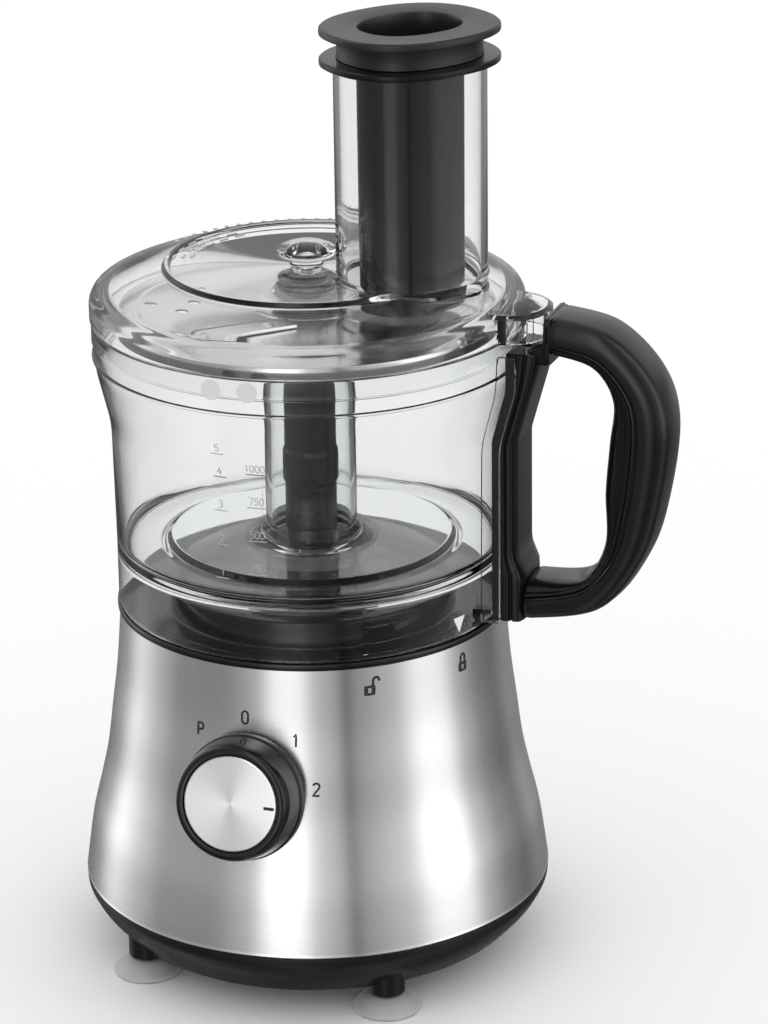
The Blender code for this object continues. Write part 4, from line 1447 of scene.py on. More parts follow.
@dataclass
class Bowl:
    """The clear bowl: skirt, floor with a raised disc, centre tube, flared rim, flanges and marks."""

    drawing: Drawing
    rim: float = 266.3
    floor: float = 173.4
    front: float = -90.0
    rim_radius: float = 85.3
    cups: tuple[tuple[str, float], ...] = (
        ("1", 182.8),
        ("2", 196.6),
        ("3", 210.5),
        ("4", 224.3),
        ("5", 234.3),
    )
    levels: tuple[tuple[str, float], ...] = (("250", 185.7), ("500", 199.4), ("750", 213.0), ("1000", 226.7))
    level_places: dict[str, float] = field(default_factory=lambda: {"cup": -7.0, "level": 7.6})
    level_sizes: dict[str, Point2] = field(default_factory=lambda: {"cup": (3.0, 5.4), "level": (2.9, 7.4)})
    text_lift: float = 2.6
    wedge_azimuth: float = -22.3
    wedge_height: float = 155.0
    spots: tuple[Point2, ...] = ((-7.15, 261.3), (7.4, 261.6))
    spot_radius: float = 4.0
    wall_outside: tuple[Point2, ...] = (
        (78.0, 149.3), (78.7, 225.0), (83.6, 245.5), (84.9, 252.0), (85.0, 258.0)
    )

    def radius_at(self, z: float) -> float:
        """The bowl's outer radius at a height."""
        return float(np.interp(z, [p[1] for p in self.wall_outside], [p[0] for p in self.wall_outside]))

    def on_wall(self, across: float, up: float, out: float) -> Vector:
        """A point on the bowl's outside.

        Args:
            across: Arc length round from the front.
            up: Height.
            out: Distance out of the surface.

        Returns:
            The point in metres.
        """
        reach = self.radius_at(up) + out
        angle = math.radians(self.front) + across / self.radius_at(up)
        return self.drawing.at(reach * math.cos(angle), reach * math.sin(angle), up)

    def build(self) -> None:
        """Makes the bowl and everything that is printed or moulded on it."""
        self.make_bowl()
        self.print_levels()
        self.make_spots()

    def section(self) -> list[Point2]:
        """The bowl's turned section with eased corners.

        Returns:
            The closed outline.
        """
        corners = [
            (83.0, self.rim, 0.5),
            (85.3, self.rim, 0.5),
            (85.3, 258.6, 0.2),
            (84.6, 258.2, 0.2),
            (84.6, 253.0, 0.2),
            (85.3, 252.6, 0.2),
            (85.3, 251.8, 0.2),
            (84.4, 251.3, 0.3),
            (83.6, 245.5, 3.0),
            (78.7, 225.0, 6.0),
            (78.0, 176.0, 1.0),
            (78.0, 150.2, 0.5),
            (77.6, 149.3, 0.3),
            (75.9, 149.3, 0.3),
            (75.7, 169.5, 1.2),
            (74.2, 171.1, 1.2),
            (60.6, 171.1, 0.5),
            (58.0, 173.0, 0.6),
            (27.0, 171.6, 1.0),
            (22.0, 171.1, 0.5),
            (17.4, 171.3, 0.8),
            (16.0, 173.4, 1.2),
            (16.0, 262.0, 0.5),
            (18.2, 262.0, 0.5),
            (18.2, 180.6, 3.0),
            (20.6, 175.4, 3.0),
            (26.0, 174.3, 1.5),
            (56.0, 175.4, 0.8),
            (58.8, self.floor, 0.8),
            (73.0, self.floor, 1.6),
            (75.8, 176.3, 1.6),
            (76.4, 225.0, 6.0),
            (81.6, 246.0, 3.0),
            (82.6, 252.0, 1.0),
        ]
        return rounded(corners, 5)

    def make_bowl(self) -> None:
        """Turns the bowl, joins its handle flanges and skirt ribs to it, and cuts a notch in its skirt."""
        turned = self.drawing.lathe("bowl_skin", self.section(), 192)
        extra = []
        for side in (-1, 1):
            outline = rounded(
                [
                    (77.0, 151.6, 0.5),
                    (77.4, 225.0, 5.0),
                    (83.0, 246.5, 3.0),
                    (83.8, 261.6, 0.4),
                    (91.0, 261.6, 0.8),
                    (91.0, 248.0, 3.0),
                    (84.5, 225.0, 5.0),
                    (84.5, 151.6, 0.8),
                ],
                4,
            )
            extra.append(self.drawing.slab("flange", outline, side * 15.2, side * 17.2))
        for azimuth in (-62.0, -54.0, 118.0, 126.0):
            extra.append(self.rib(azimuth, 75.2, 76.4, 0.9, 151.0, 169.0))
        solid = self.drawing.combine(turned, extra, Join.ADD)
        notch = self.drawing.box("notch", (72.0, -3.6, 148.0), (80.0, 3.6, 154.8))
        solid = self.drawing.combine(solid, [notch], Join.CUT)
        self.drawing.piece("clear_bowl", solid, CLEAR, Body.BOWL, ["bowl", "bowl_tube"], crease=32.0)

    def rib(
        self, azimuth: float, inside: float, outside: float, half: float, low: float, high: float
    ) -> bpy.types.Mesh:
        """A short upright rib on a round wall, at an azimuth in degrees.

        Args:
            azimuth: Its angle in degrees.
            inside: Inner reach.
            outside: Outer reach.
            half: Half its width.
            low: Lower end.
            high: Upper end.

        Returns:
            The mesh.
        """
        angle = math.radians(azimuth)
        along = Vector((math.cos(angle), math.sin(angle)))
        side = Vector((-along.y, along.x))
        outline = [
            (along * r + side * s)[:]
            for r, s in ((inside, -half), (outside, -half), (outside, half), (inside, half))
        ]
        return self.drawing.stack("rib", [(outline, low), (outline, high)])

    def print_levels(self) -> None:
        """Cup and millilitre levels, the wedge by the padlocks, and their short lines."""
        printer = Printer(self.drawing)
        parts: list[bpy.types.Mesh] = []
        for label, column in (("cup", self.cups), ("level", self.levels)):
            size, line = self.level_sizes[label]
            across = self.level_places[label]
            for text, z in column:
                above = (across, z + self.text_lift)
                parts.append(printer.word(label, list(text), above, size, 0.34, self.on_wall))
                bar = GLYPHS["bar"][0]
                name = f"{label}_line"
                parts.append(printer.ribbon(name, bar, (across, z), line, 0.4, self.on_wall, 0.12))
        self.drawing.piece("level_marks", self.drawing.wrap("levels", parts), GREY_PRINT, Body.BOWL)
        across = math.radians(self.wedge_azimuth - self.front) * self.wall_outside[0][0]
        corners = [(-3.1, 2.8), (3.1, 2.8), (0.0, -3.6)]
        place = (across, self.wedge_height)
        filled = self.drawing.patch("wedge", corners, place, self.on_wall, 0.2)
        self.drawing.piece("lock_wedge", filled, WHITE_PRINT, Body.BOWL)

    def make_spots(self) -> None:
        """Two round frosted marks on the rim."""
        for i, place in enumerate(self.spots):
            angles = [TAU * k / 40 for k in range(40)]
            circle = [(self.spot_radius * math.cos(a), self.spot_radius * math.sin(a)) for a in angles]
            mesh = self.drawing.patch("frosted", circle, place, self.on_rim, 0.16)
            self.drawing.piece(f"frosted_spot_{i + 1}", mesh, FROSTED, Body.BOWL)

    def on_rim(self, across: float, up: float, out: float) -> Vector:
        """A point on the outside of the bowl's rim.

        Args:
            across: Arc length round from the front.
            up: Height.
            out: Distance out of the surface.

        Returns:
            The point in metres.
        """
        reach = self.rim_radius + out
        angle = math.radians(self.front) + across / reach
        return self.drawing.at(reach * math.cos(angle), reach * math.sin(angle), up)


@dataclass
class Handle:
    """The loop handle: a channelled stem against the bowl, an outer cover and an inner liner."""

    drawing: Drawing
    half_width: float = 14.0
    liner_half_width: float = 12.9
    stations: int = 72
    outer: tuple[Point2, ...] = (
        (103.7, 278.0),
        (126.0, 273.5),
        (144.0, 257.0),
        (150.85, 236.0),
        (147.6, 205.0),
        (140.0, 180.0),
        (123.0, 158.5),
        (93.5, 151.2),
    )
    seam: tuple[Point2, ...] = (
        (103.7, 266.5),
        (122.0, 262.5),
        (134.5, 249.0),
        (137.5, 233.0),
        (135.0, 205.0),
        (128.5, 181.0),
        (116.0, 167.5),
        (93.5, 161.5),
    )
    inner: tuple[Point2, ...] = (
        (103.7, 261.5),
        (119.5, 257.5),
        (127.0, 245.0),
        (125.5, 227.5),
        (124.0, 208.0),
        (124.5, 186.5),
        (115.0, 171.0),
        (93.5, 168.5),
    )

    def build(self) -> None:
        """Makes the stem, the stub under the lid's tab and the two halves of the grip."""
        self.make_stem()
        self.make_stub()
        self.make_half("grip_cover", self.outer, self.cover_section(), GLOSS_HANDLE, "handle_grip")
        self.make_half("grip_liner", self.inner, self.liner_section(), GLOSS_BLACK, "handle_liner")

    def stem_edges(self, z: float) -> Point2:
        """The stem's inner and outer reach at a height.

        Args:
            z: Height.

        Returns:
            Inner and outer reach.
        """
        inside = float(np.interp(z, [151.3, 226.0, 247.0, 262.6], [80.6, 80.6, 86.2, 86.2]))
        outside = float(
            np.interp(z, [151.3, 170.6, 178.0, 225.0, 257.0, 262.6], [93.1, 93.1, 89.7, 89.6, 98.6, 99.4])
        )
        return inside, outside

    def make_stem(self) -> None:
        """Lofts the stem: a flat side band, a groove, a rounded rib and an open channel towards the bowl."""
        levels = []
        heights = [151.4, 152.0, *np.linspace(153.0, 222.0, 24), *np.linspace(224.0, 262.0, 26), 262.6]
        for z in heights:
            inside, outside = self.stem_edges(float(z))
            width = outside - inside
            ease = 0.6 if z in (heights[0], heights[-1]) else 0.0
            w = self.half_width - ease
            half = rounded(
                [
                    (inside + ease, 3.2, 0.0),
                    (inside + ease, w - 0.4, 0.5),
                    (inside + 0.7 + ease, w, 0.4),
                    (inside + width * 0.52, w, 0.3),
                    (inside + width * 0.56, w - 1.5, 0.4),
                    (inside + width * 0.60, w - 1.5, 0.4),
                    (inside + width * 0.64, w - 0.4, 0.5),
                    (inside + width * 0.86, w - 0.8, 1.6),
                    (outside - ease, w - 4.6, 3.0),
                    (outside - ease, 0.0, 0.0),
                ],
                4,
                closed=False,
            )
            whole = half + [(x, -y) for x, y in reversed(half[:-1])]
            whole += [(inside + min(6.9, width - 2.0), -3.2), (inside + min(6.9, width - 2.0), 3.2)]
            levels.append((whole, float(z)))
        mesh = self.drawing.stack("stem_skin", levels)
        self.drawing.piece(
            "handle_stem_moulding", mesh, GLOSS_HANDLE, Body.BOWL, ["handle_stem"], crease=30.0
        )

    def make_stub(self) -> None:
        """The short neck between the stem's head and the grip, under and behind the lid's tab."""
        profile = [
            (93.0, 258.4, 262.3, 10.5),
            (97.0, 258.2, 266.6, 11.6),
            (100.3, 258.0, 267.2, 12.4),
            (100.9, 258.0, 267.4, 12.6),
            (101.0, 258.0, 277.2, 12.6),
            (102.2, 258.2, 277.4, 12.9),
            (102.6, 258.7, 276.9, 12.4),
            (103.5, 258.7, 276.9, 12.4),
        ]
        rings = []
        for x, low, high, half in profile:
            shape = rounded([(-half, low, 2.5), (half, low, 2.5), (half, high, 3.5), (-half, high, 3.5)], 6)
            rings.append([(x, y, z) for y, z in shape])
        mesh = self.drawing.skin(
            "stub_skin", np.array(rings) * MM + np.array(self.drawing.axis), False, Ends.CAPPED
        )
        self.drawing.piece("handle_neck", mesh, GLOSS_BLACK, Body.BOWL, crease=45.0)

    def cover_section(self) -> list[Point2]:
        """The cover's half section: out from the seam as 0 to 1, with half widths in millimetres.

        Returns:
            The half section.
        """
        w = self.half_width
        corners = [
            (w - 1.0, 0.0, 0.0),
            (w - 0.9, 0.05, 0.1),
            (w, 0.12, 0.2),
            (w, 0.55, 3.0),
            (w - 3.4, 0.92, 4.0),
            (0.0, 1.0, 0.0),
        ]
        return [(y, v) for y, v in self.half_curve(corners)]

    def liner_section(self) -> list[Point2]:
        """The liner's half section, with the soft bead that runs along the seam.

        Returns:
            The half section.
        """
        w = self.liner_half_width
        corners = [
            (w - 0.6, 0.0, 0.0),
            (w - 0.5, 0.05, 0.1),
            (w + 0.5, 0.12, 0.2),
            (w + 0.2, 0.26, 0.3),
            (w - 1.2, 0.34, 0.3),
            (w - 1.4, 0.6, 3.0),
            (w - 5.0, 0.95, 4.0),
            (0.0, 1.0, 0.0),
        ]
        return [(y, v) for y, v in self.half_curve(corners)]

    @staticmethod
    def half_curve(corners: Sequence[Corner]) -> list[Point2]:
        """Eases a half section whose second value runs from 0 to 1, worked at fourteen times that."""
        stretched = [(y, v * 14.0, ease) for y, v, ease in corners]
        return [(y, v / 14.0) for y, v in rounded(stretched, 5, closed=False)]

    def make_half(
        self, name: str, far: Sequence[Point2], section: Sequence[Point2], finish: Finish, replaced: str
    ) -> None:
        """Lofts one half of the grip between the seam line and its own far line.

        Args:
            name: The piece's name.
            far: The line furthest from the seam.
            section: Half of the section, from the side to the middle.
            finish: Its finish.
            replaced: The frame part that it stands for.
        """
        seam = self.evened(self.seam)
        edge = self.evened(far)
        rings = []
        last = len(seam) - 1
        for k, (base, end) in enumerate(zip(seam, edge)):
            reach = end - base
            start = base + reach.normalized() * 0.22
            reach = end - start
            ease = 0.55 if k in (0, last) else 0.0
            shift = {0: 0.0, last: 0.0}.get(k, 0.0)
            ring = []
            for y, v in section:
                at = start + reach * (v * (1.0 - ease * 0.05))
                ring.append((at.x + shift, max(0.0, y - ease), at.y))
            ring += [(x, -y, z) for x, y, z in reversed(ring[:-1])]
            rings.append(ring)
        mesh = self.drawing.skin(name, np.array(rings) * MM + np.array(self.drawing.axis), False, Ends.CAPPED)
        self.drawing.piece(name, mesh, finish, Body.BOWL, [replaced], crease=42.0)

    def evened(self, line: Sequence[Point2]) -> list[Vector]:
        """A smooth line through the points, sampled evenly by its own parameter.

        Args:
            line: The points of one edge of the loop.

        Returns:
            Points at even steps along it.
        """
        fine = flowing(line, 24)
        steps = np.linspace(0, len(fine) - 1, self.stations)
        return [fine[int(i)].lerp(fine[min(int(i) + 1, len(fine) - 1)], i - int(i)) for i in steps]


@dataclass
class SlicingDisc:
    """The steel disc with its slot, blade and holes, and the dark stem and hub that carry it."""

    drawing: Drawing
    radius: float = 75.0
    top: float = 269.0
    turn: float = math.radians(230.0)
    slot: tuple[Point2, Point2] = ((16.0, 9.0), (66.0, 17.0))
    blade: tuple[Point2, Point2] = ((18.0, 13.5), (64.0, 27.0))
    holes: tuple[Point2, ...] = ((45.3, 190.0), (49.7, 209.0), (62.0, 199.0))

    def build(self) -> None:
        """Makes the disc, blade, rivets, stem and hub."""
        self.make_disc()
        self.make_blade()
        self.make_stem()
        self.make_hub()

    def turned_point(self, x: float, y: float) -> Point2:
        """A point of the disc's own drawing, turned to where it stands at rest."""
        c, s = math.cos(self.turn), math.sin(self.turn)
        return (x * c - y * s, x * s + y * c)

    def make_disc(self) -> None:
        """The pan with a rolled polished rim, a pressed ring, the slot and the holes."""
        corners = [
            (14.6, 269.0, 0.2),
            (20.0, 269.0, 0.4),
            (21.0, 268.7, 0.4),
            (66.5, 268.7, 0.4),
            (67.5, 269.0, 0.4),
            (self.radius - 0.5, 269.0, 1.0),
            (self.radius, 267.6, 1.0),
            (self.radius, 264.6, 0.4),
            (self.radius - 1.3, 264.5, 0.3),
            (self.radius - 1.4, 267.4, 0.6),
            (67.5, 267.8, 0.4),
            (14.6, 267.6, 0.2),
        ]
        pan = self.drawing.lathe("pan", rounded(corners, 4), 192)
        (x0, y0), (x1, y1) = self.slot
        outline = [
            self.turned_point(x, y)
            for x, y in rounded([(x0, y0, 2.0), (x1, y0, 3.0), (x1, y1, 1.5), (x0, y1, 1.5)], 5)
        ]
        cutters = [self.drawing.stack("slot", [(outline, 262.0), (outline, 274.0)])]
        for reach, angle in self.holes:
            centre = (reach * math.cos(math.radians(angle)), reach * math.sin(math.radians(angle)))
            profile = [(0.0, 262.0), (2.6, 262.0), (2.6, 274.0), (0.0, 274.0)]
            cutters.append(self.drawing.lathe("hole", profile, 40, centre))
        pan = self.drawing.combine(pan, cutters, Join.CUT)
        self.drawing.piece("disc_pan", pan, DISC_STEEL, Body.DISC, ["slicing_disc"], crease=30.0)

    def make_blade(self) -> None:
        """The ground blade over the slot's far side, with a bevel at its edge and two domed rivets."""
        (x0, y0), (x1, y1) = self.blade
        levels = []
        for inset, z in ((0.0, 269.35), (0.0, 269.75), (1.8, 270.6)):
            shape = rounded(
                [
                    (x0 + 0.3, y0 + inset, 0.8),
                    (x1 - 0.3, y0 + inset, 0.8),
                    (x1 - 0.3, y1 - inset * 0.2, 2.0),
                    (x0 + 0.3, y1 - inset * 0.2, 2.0),
                ],
                4,
            )
            levels.append(([self.turned_point(x, y) for x, y in shape], z))
        mesh = self.drawing.stack("blade_skin", levels)
        self.drawing.piece("ground_blade", mesh, DISC_STEEL, Body.DISC, ["slicing_blade"], crease=25.0)
        for i, x in enumerate((30.0, 58.0)):
            dome = rounded(
                [
                    (0.0, 272.0, 0.0),
                    (1.5, 271.9, 0.6),
                    (2.4, 270.9, 0.4),
                    (2.4, 270.4, 0.0),
                    (0.0, 270.4, 0.0),
                ],
                4,
                closed=False,
            )
            mesh = self.drawing.lathe("rivet", dome, 40, self.turned_point(x, 22.0))
            self.drawing.piece(
                f"domed_rivet_{i + 1}", mesh, BRIGHT_STEEL, Body.DISC, [f"blade_rivet_{i + 1}"]
            )

    def make_stem(self) -> None:
        """The dark stem: a stepped foot with a key notch, a long barrel and the flange under the disc."""
        foot = self.drawing.heights("disc_stem")[0]
        inside = [(0.0, 223.6), (8.2, 223.4), (8.2, foot + 0.4)]
        shell = rounded(
            [
                (8.2, foot + 0.4, 0.0),
                (8.6, foot, 0.2),
                (10.9, foot, 0.5),
                (11.2, foot + 1.0, 0.4),
                (11.2, 209.8, 0.5),
                (10.75, 210.6, 0.3),
                (10.5, 211.4, 0.3),
                (10.3, 246.0, 1.0),
                (10.5, 258.6, 1.6),
                (12.6, 262.2, 1.4),
                (14.0, 263.9, 0.8),
                (14.0, 267.2, 0.3),
                (5.6, 267.4, 0.2),
                (5.6, 274.9, 0.4),
                (0.0, 275.0, 0.0),
            ],
            5,
            closed=False,
        )
        mesh = self.drawing.lathe("stem_skin", [*inside, *shell[1:]], 128)
        angle = math.radians(-72.0)
        notch = self.drawing.lathe(
            "notch",
            [(0.0, 195.0), (3.0, 195.0), (3.0, 199.6), (2.2, 201.4), (0.0, 202.0)],
            32,
            (11.4 * math.cos(angle), 11.4 * math.sin(angle)),
        )
        mesh = self.drawing.combine(mesh, [notch], Join.CUT)
        self.drawing.piece("disc_barrel", mesh, STEM_GREY, Body.DISC, ["disc_stem"], crease=30.0)

    def make_hub(self) -> None:
        """The stepped hub on top, with its pin up into the lid's bush."""
        corners = [
            (14.0, 269.5, 0.2),
            (14.0, 271.0, 0.4),
            (11.8, 271.4, 0.3),
            (11.2, 272.6, 0.4),
            (11.2, 276.4, 0.4),
            (12.4, 277.0, 0.4),
            (12.4, 278.4, 0.4),
            (10.6, 279.0, 0.4),
            (7.0, 278.2, 0.4),
            (2.9, 278.4, 0.4),
            (2.2, 279.0, 0.2),
            (2.1, 284.2, 0.5),
            (0.0, 285.0, 0.0),
            (0.0, 275.4, 0.0),
            (6.0, 275.4, 0.2),
            (6.0, 269.4, 0.2),
        ]
        mesh = self.drawing.lathe("hub_skin", rounded(corners, 4), 128)
        self.drawing.piece("disc_hub_cap", mesh, STEM_GREY, Body.DISC, ["disc_hub"], crease=30.0)


@dataclass
class Lid:
    """The clear lid: a domed rim, a raised ring round its plateau, the tab, the feed tube and the bush."""

    drawing: Drawing
    tube_reach: float = 43.7
    tube_turn: float = math.radians(56.0)
    tube_outside: Point2 = (29.8, 25.6)
    tube_inside: Point2 = (27.6, 23.4)
    tube_low: float = 272.3
    tube_top: float = 371.0
    squareness: float = 2.3
    tab: tuple[Point2, ...] = ((80.0, 18.0), (88.0, 17.5), (94.0, 15.0), (98.0, 10.0), (99.8, 4.0))
    tab_hollow: tuple[Point2, ...] = ((86.6, 15.4), (93.0, 13.2), (96.4, 8.8), (97.7, 3.6))

    def oval(self, half_long: float, half_short: float, count: int = 120) -> list[Point2]:
        """An oval at the feed tube's place.

        Args:
            half_long: Half the long axis.
            half_short: Half the short axis.
            count: Number of points.

        Returns:
            The plan outline.
        """
        c, s = math.cos(self.tube_turn), math.sin(self.tube_turn)
        shape = squared_oval(half_long, half_short, self.squareness, count)
        return [(self.tube_reach + x * c - y * s, x * s + y * c) for x, y in shape]

    def build(self) -> None:
        """Makes the lid with its tube as one moulding, its bush and its raised dashes."""
        self.make_lid()
        self.make_bush()
        self.make_dashes()

    def section(self) -> list[Point2]:
        """The lid's turned section with eased corners.

        Returns:
            The closed outline.
        """
        return rounded(
            [
                (6.5, 286.7, 0.2),
                (53.6, 286.7, 0.4),
                (54.2, 288.2, 0.5),
                (55.9, 288.2, 0.6),
                (56.8, 286.4, 0.6),
                (78.5, 279.9, 2.0),
                (84.2, 277.5, 1.8),
                (85.8, 274.2, 1.4),
                (85.8, 267.4, 0.3),
                (85.3, 266.9, 0.3),
                (82.3, 266.9, 0.3),
                (82.0, 266.2, 0.3),
                (81.9, 258.4, 0.4),
                (81.5, 258.0, 0.3),
                (80.1, 258.0, 0.3),
                (79.8, 273.0, 1.2),
                (78.2, 276.9, 1.6),
                (55.6, 284.3, 0.8),
                (6.5, 284.4, 0.2),
            ],
            5,
        )

    def make_lid(self) -> None:
        """Turns the lid, joins the tab, tube and lugs to it, and opens the tube through it."""
        turned = self.drawing.lathe("lid_skin", self.section(), 192)
        plan = [self.tab_plan(self.tab, shrink) for shrink in (0.5, 0.0, 1.6)]
        tab = self.drawing.stack(
            "tab", [(plan[0], 266.95), (plan[1], 267.6), (plan[1], 277.0), (plan[2], 278.4)]
        )
        inner = self.tab_plan(self.tab_hollow, 0.0)
        tab = self.drawing.combine(
            tab, [self.drawing.stack("hollow", [(inner, 260.0), (inner, 276.3)])], Join.CUT
        )
        cam = self.drawing.box("cam", (90.4, -1.5, 263.3), (93.2, 1.5, 277.3))
        foot = [(30.4, 26.2), (30.0, 25.8), self.tube_outside]
        levels = [
            (self.oval(a, b), z)
            for (a, b), z in zip(
                [foot[2], foot[2], foot[0], foot[1], foot[2], foot[2]],
                (self.tube_low, 284.6, 286.9, 287.6, 289.0, self.tube_top),
            )
        ]
        tube = self.drawing.stack("tube", levels)
        solid = self.drawing.combine(turned, [tab, cam, tube], Join.ADD)
        bore = self.drawing.stack(
            "bore", [(self.oval(*self.tube_inside), 240.0), (self.oval(*self.tube_inside), 380.0)]
        )
        solid = self.drawing.combine(solid, [bore], Join.CUT)
        self.drawing.piece("clear_lid", solid, CLEAR, Body.LID, ["lid", "feed_tube"], crease=32.0)

    @staticmethod
    def tab_plan(corners: Sequence[Point2], shrink: float) -> list[Point2]:
        """The tab's rounded plan outline, mirrored about the handle's side and drawn in by a few tenths."""
        side = [(x - shrink, y - shrink) for x, y in corners]
        return rounded([(x, -y, 2.0) for x, y in side] + [(x, y, 2.0) for x, y in reversed(side)], 5)

    def make_bush(self) -> None:
        """The clear mushroom at the middle that the disc's pin turns in."""
        corners = [
            (0.0, 295.9, 0.0),
            (6.6, 295.5, 2.4),
            (11.5, 293.2, 1.4),
            (12.0, 291.6, 0.6),
            (11.2, 290.6, 0.5),
            (6.6, 288.8, 0.8),
            (6.0, 287.2, 0.4),
            (5.8, 280.6, 0.4),
            (5.4, 280.0, 0.3),
            (3.2, 280.0, 0.3),
            (2.8, 280.6, 0.3),
            (2.8, 286.2, 0.3),
            (0.0, 286.4, 0.0),
        ]
        mesh = self.drawing.lathe("bush_skin", rounded(corners, 5, closed=False), 112)
        self.drawing.piece("clear_bush", mesh, CLEAR, Body.LID_BUSH, ["lid_bush"], crease=32.0)

    def make_dashes(self) -> None:
        """Raised dashes round the back and left of the plateau, and small teeth on the rim."""
        parts = []
        for row, reach in enumerate((46.5, 50.0, 53.5)):
            for k in range(5):
                azimuth = math.radians(186.0 - 10.0 * k + 1.5 * row)
                outline = [
                    self.polar(reach + dr, azimuth + da)
                    for dr, da in ((-0.55, -0.045), (0.55, -0.045), (0.55, 0.045), (-0.55, 0.045))
                ]
                parts.append(self.drawing.stack("dash", [(outline, 286.75), (outline, 287.2)]))
        for k in range(16):
            azimuth = math.radians(92.0 + 5.0 * k)
            outline = [
                self.polar(r, azimuth + da)
                for r, da in ((61.4, -0.012), (62.9, -0.012), (62.9, 0.012), (61.4, 0.012))
            ]
            parts.append(self.drawing.stack("tick", [(outline, 286.1), (outline, 286.5)]))
        self.drawing.piece("raised_dashes", self.drawing.wrap("dashes", parts), FROSTED, Body.LID)

    @staticmethod
    def polar(reach: float, azimuth: float) -> Point2:
        """A plan point from its distance and its angle in radians."""
        return (reach * math.cos(azimuth), reach * math.sin(azimuth))


@dataclass
class Pusher:
    """The hollow pusher: a long dark body, its resting flange, a neck and the top flange."""

    drawing: Drawing
    lid: Lid
    body: Point2 = (21.0, 17.2)
    hollow: Point2 = (18.8, 15.0)
    mouth: Point2 = (20.3, 16.3)
    flange: Point2 = (35.0, 30.6)
    neck: Point2 = (28.2, 24.6)

    def ring(self, size: Point2, grow: float, z: float) -> tuple[list[Point2], float]:
        """One level of the pusher, grown by a few tenths where an edge is eased."""
        return (self.lid.oval(size[0] + grow, size[1] + grow), z)

    def build(self) -> None:
        """Makes the body with its flange, and the collar above it."""
        levels = [
            self.ring(self.hollow, 0.0, 373.7),
            self.ring(self.hollow, 0.0, 275.4),
        ]
        outside = [
            self.ring(self.body, -1.6, 273.0),
            self.ring(self.body, -0.5, 273.3),
            self.ring(self.body, 0.0, 274.4),
            self.ring(self.body, 0.0, 371.3),
            self.ring(self.flange, -0.6, 371.3),
            self.ring(self.flange, -0.1, 371.6),
            self.ring(self.flange, 0.0, 372.4),
            self.ring(self.flange, -0.1, 373.6),
            self.ring(self.flange, -0.6, 374.0),
            self.ring(self.hollow, 0.4, 374.0),
        ]
        mesh = self.drawing.stack("pusher_skin", [*outside, *levels])
        self.drawing.piece("pusher_tube", mesh, DARK_GREY, Body.PUSHER, ["pusher_body"], crease=35.0)
        collar = [
            self.ring(self.mouth, 0.6, 374.3),
            self.ring(self.neck, 0.3, 374.3),
            self.ring(self.neck, 0.0, 375.4),
            self.ring(self.neck, 0.0, 381.8),
            self.ring(self.neck, 0.6, 382.8),
            self.ring(self.flange, -0.6, 383.0),
            self.ring(self.flange, -0.1, 383.3),
            self.ring(self.flange, 0.0, 384.2),
            self.ring(self.flange, -0.15, 385.4),
            self.ring(self.flange, -0.8, 386.0),
            self.ring(self.mouth, 1.5, 386.0),
            self.ring(self.mouth, 0.5, 385.6),
            self.ring(self.mouth, 0.0, 384.4),
            self.ring(self.mouth, 0.0, 376.0),
        ]
        mesh = self.drawing.stack("collar_skin", collar, closed=True)
        self.drawing.piece("pusher_top", mesh, FLANGE_GREY, Body.PUSHER, ["pusher_collar"], crease=35.0)


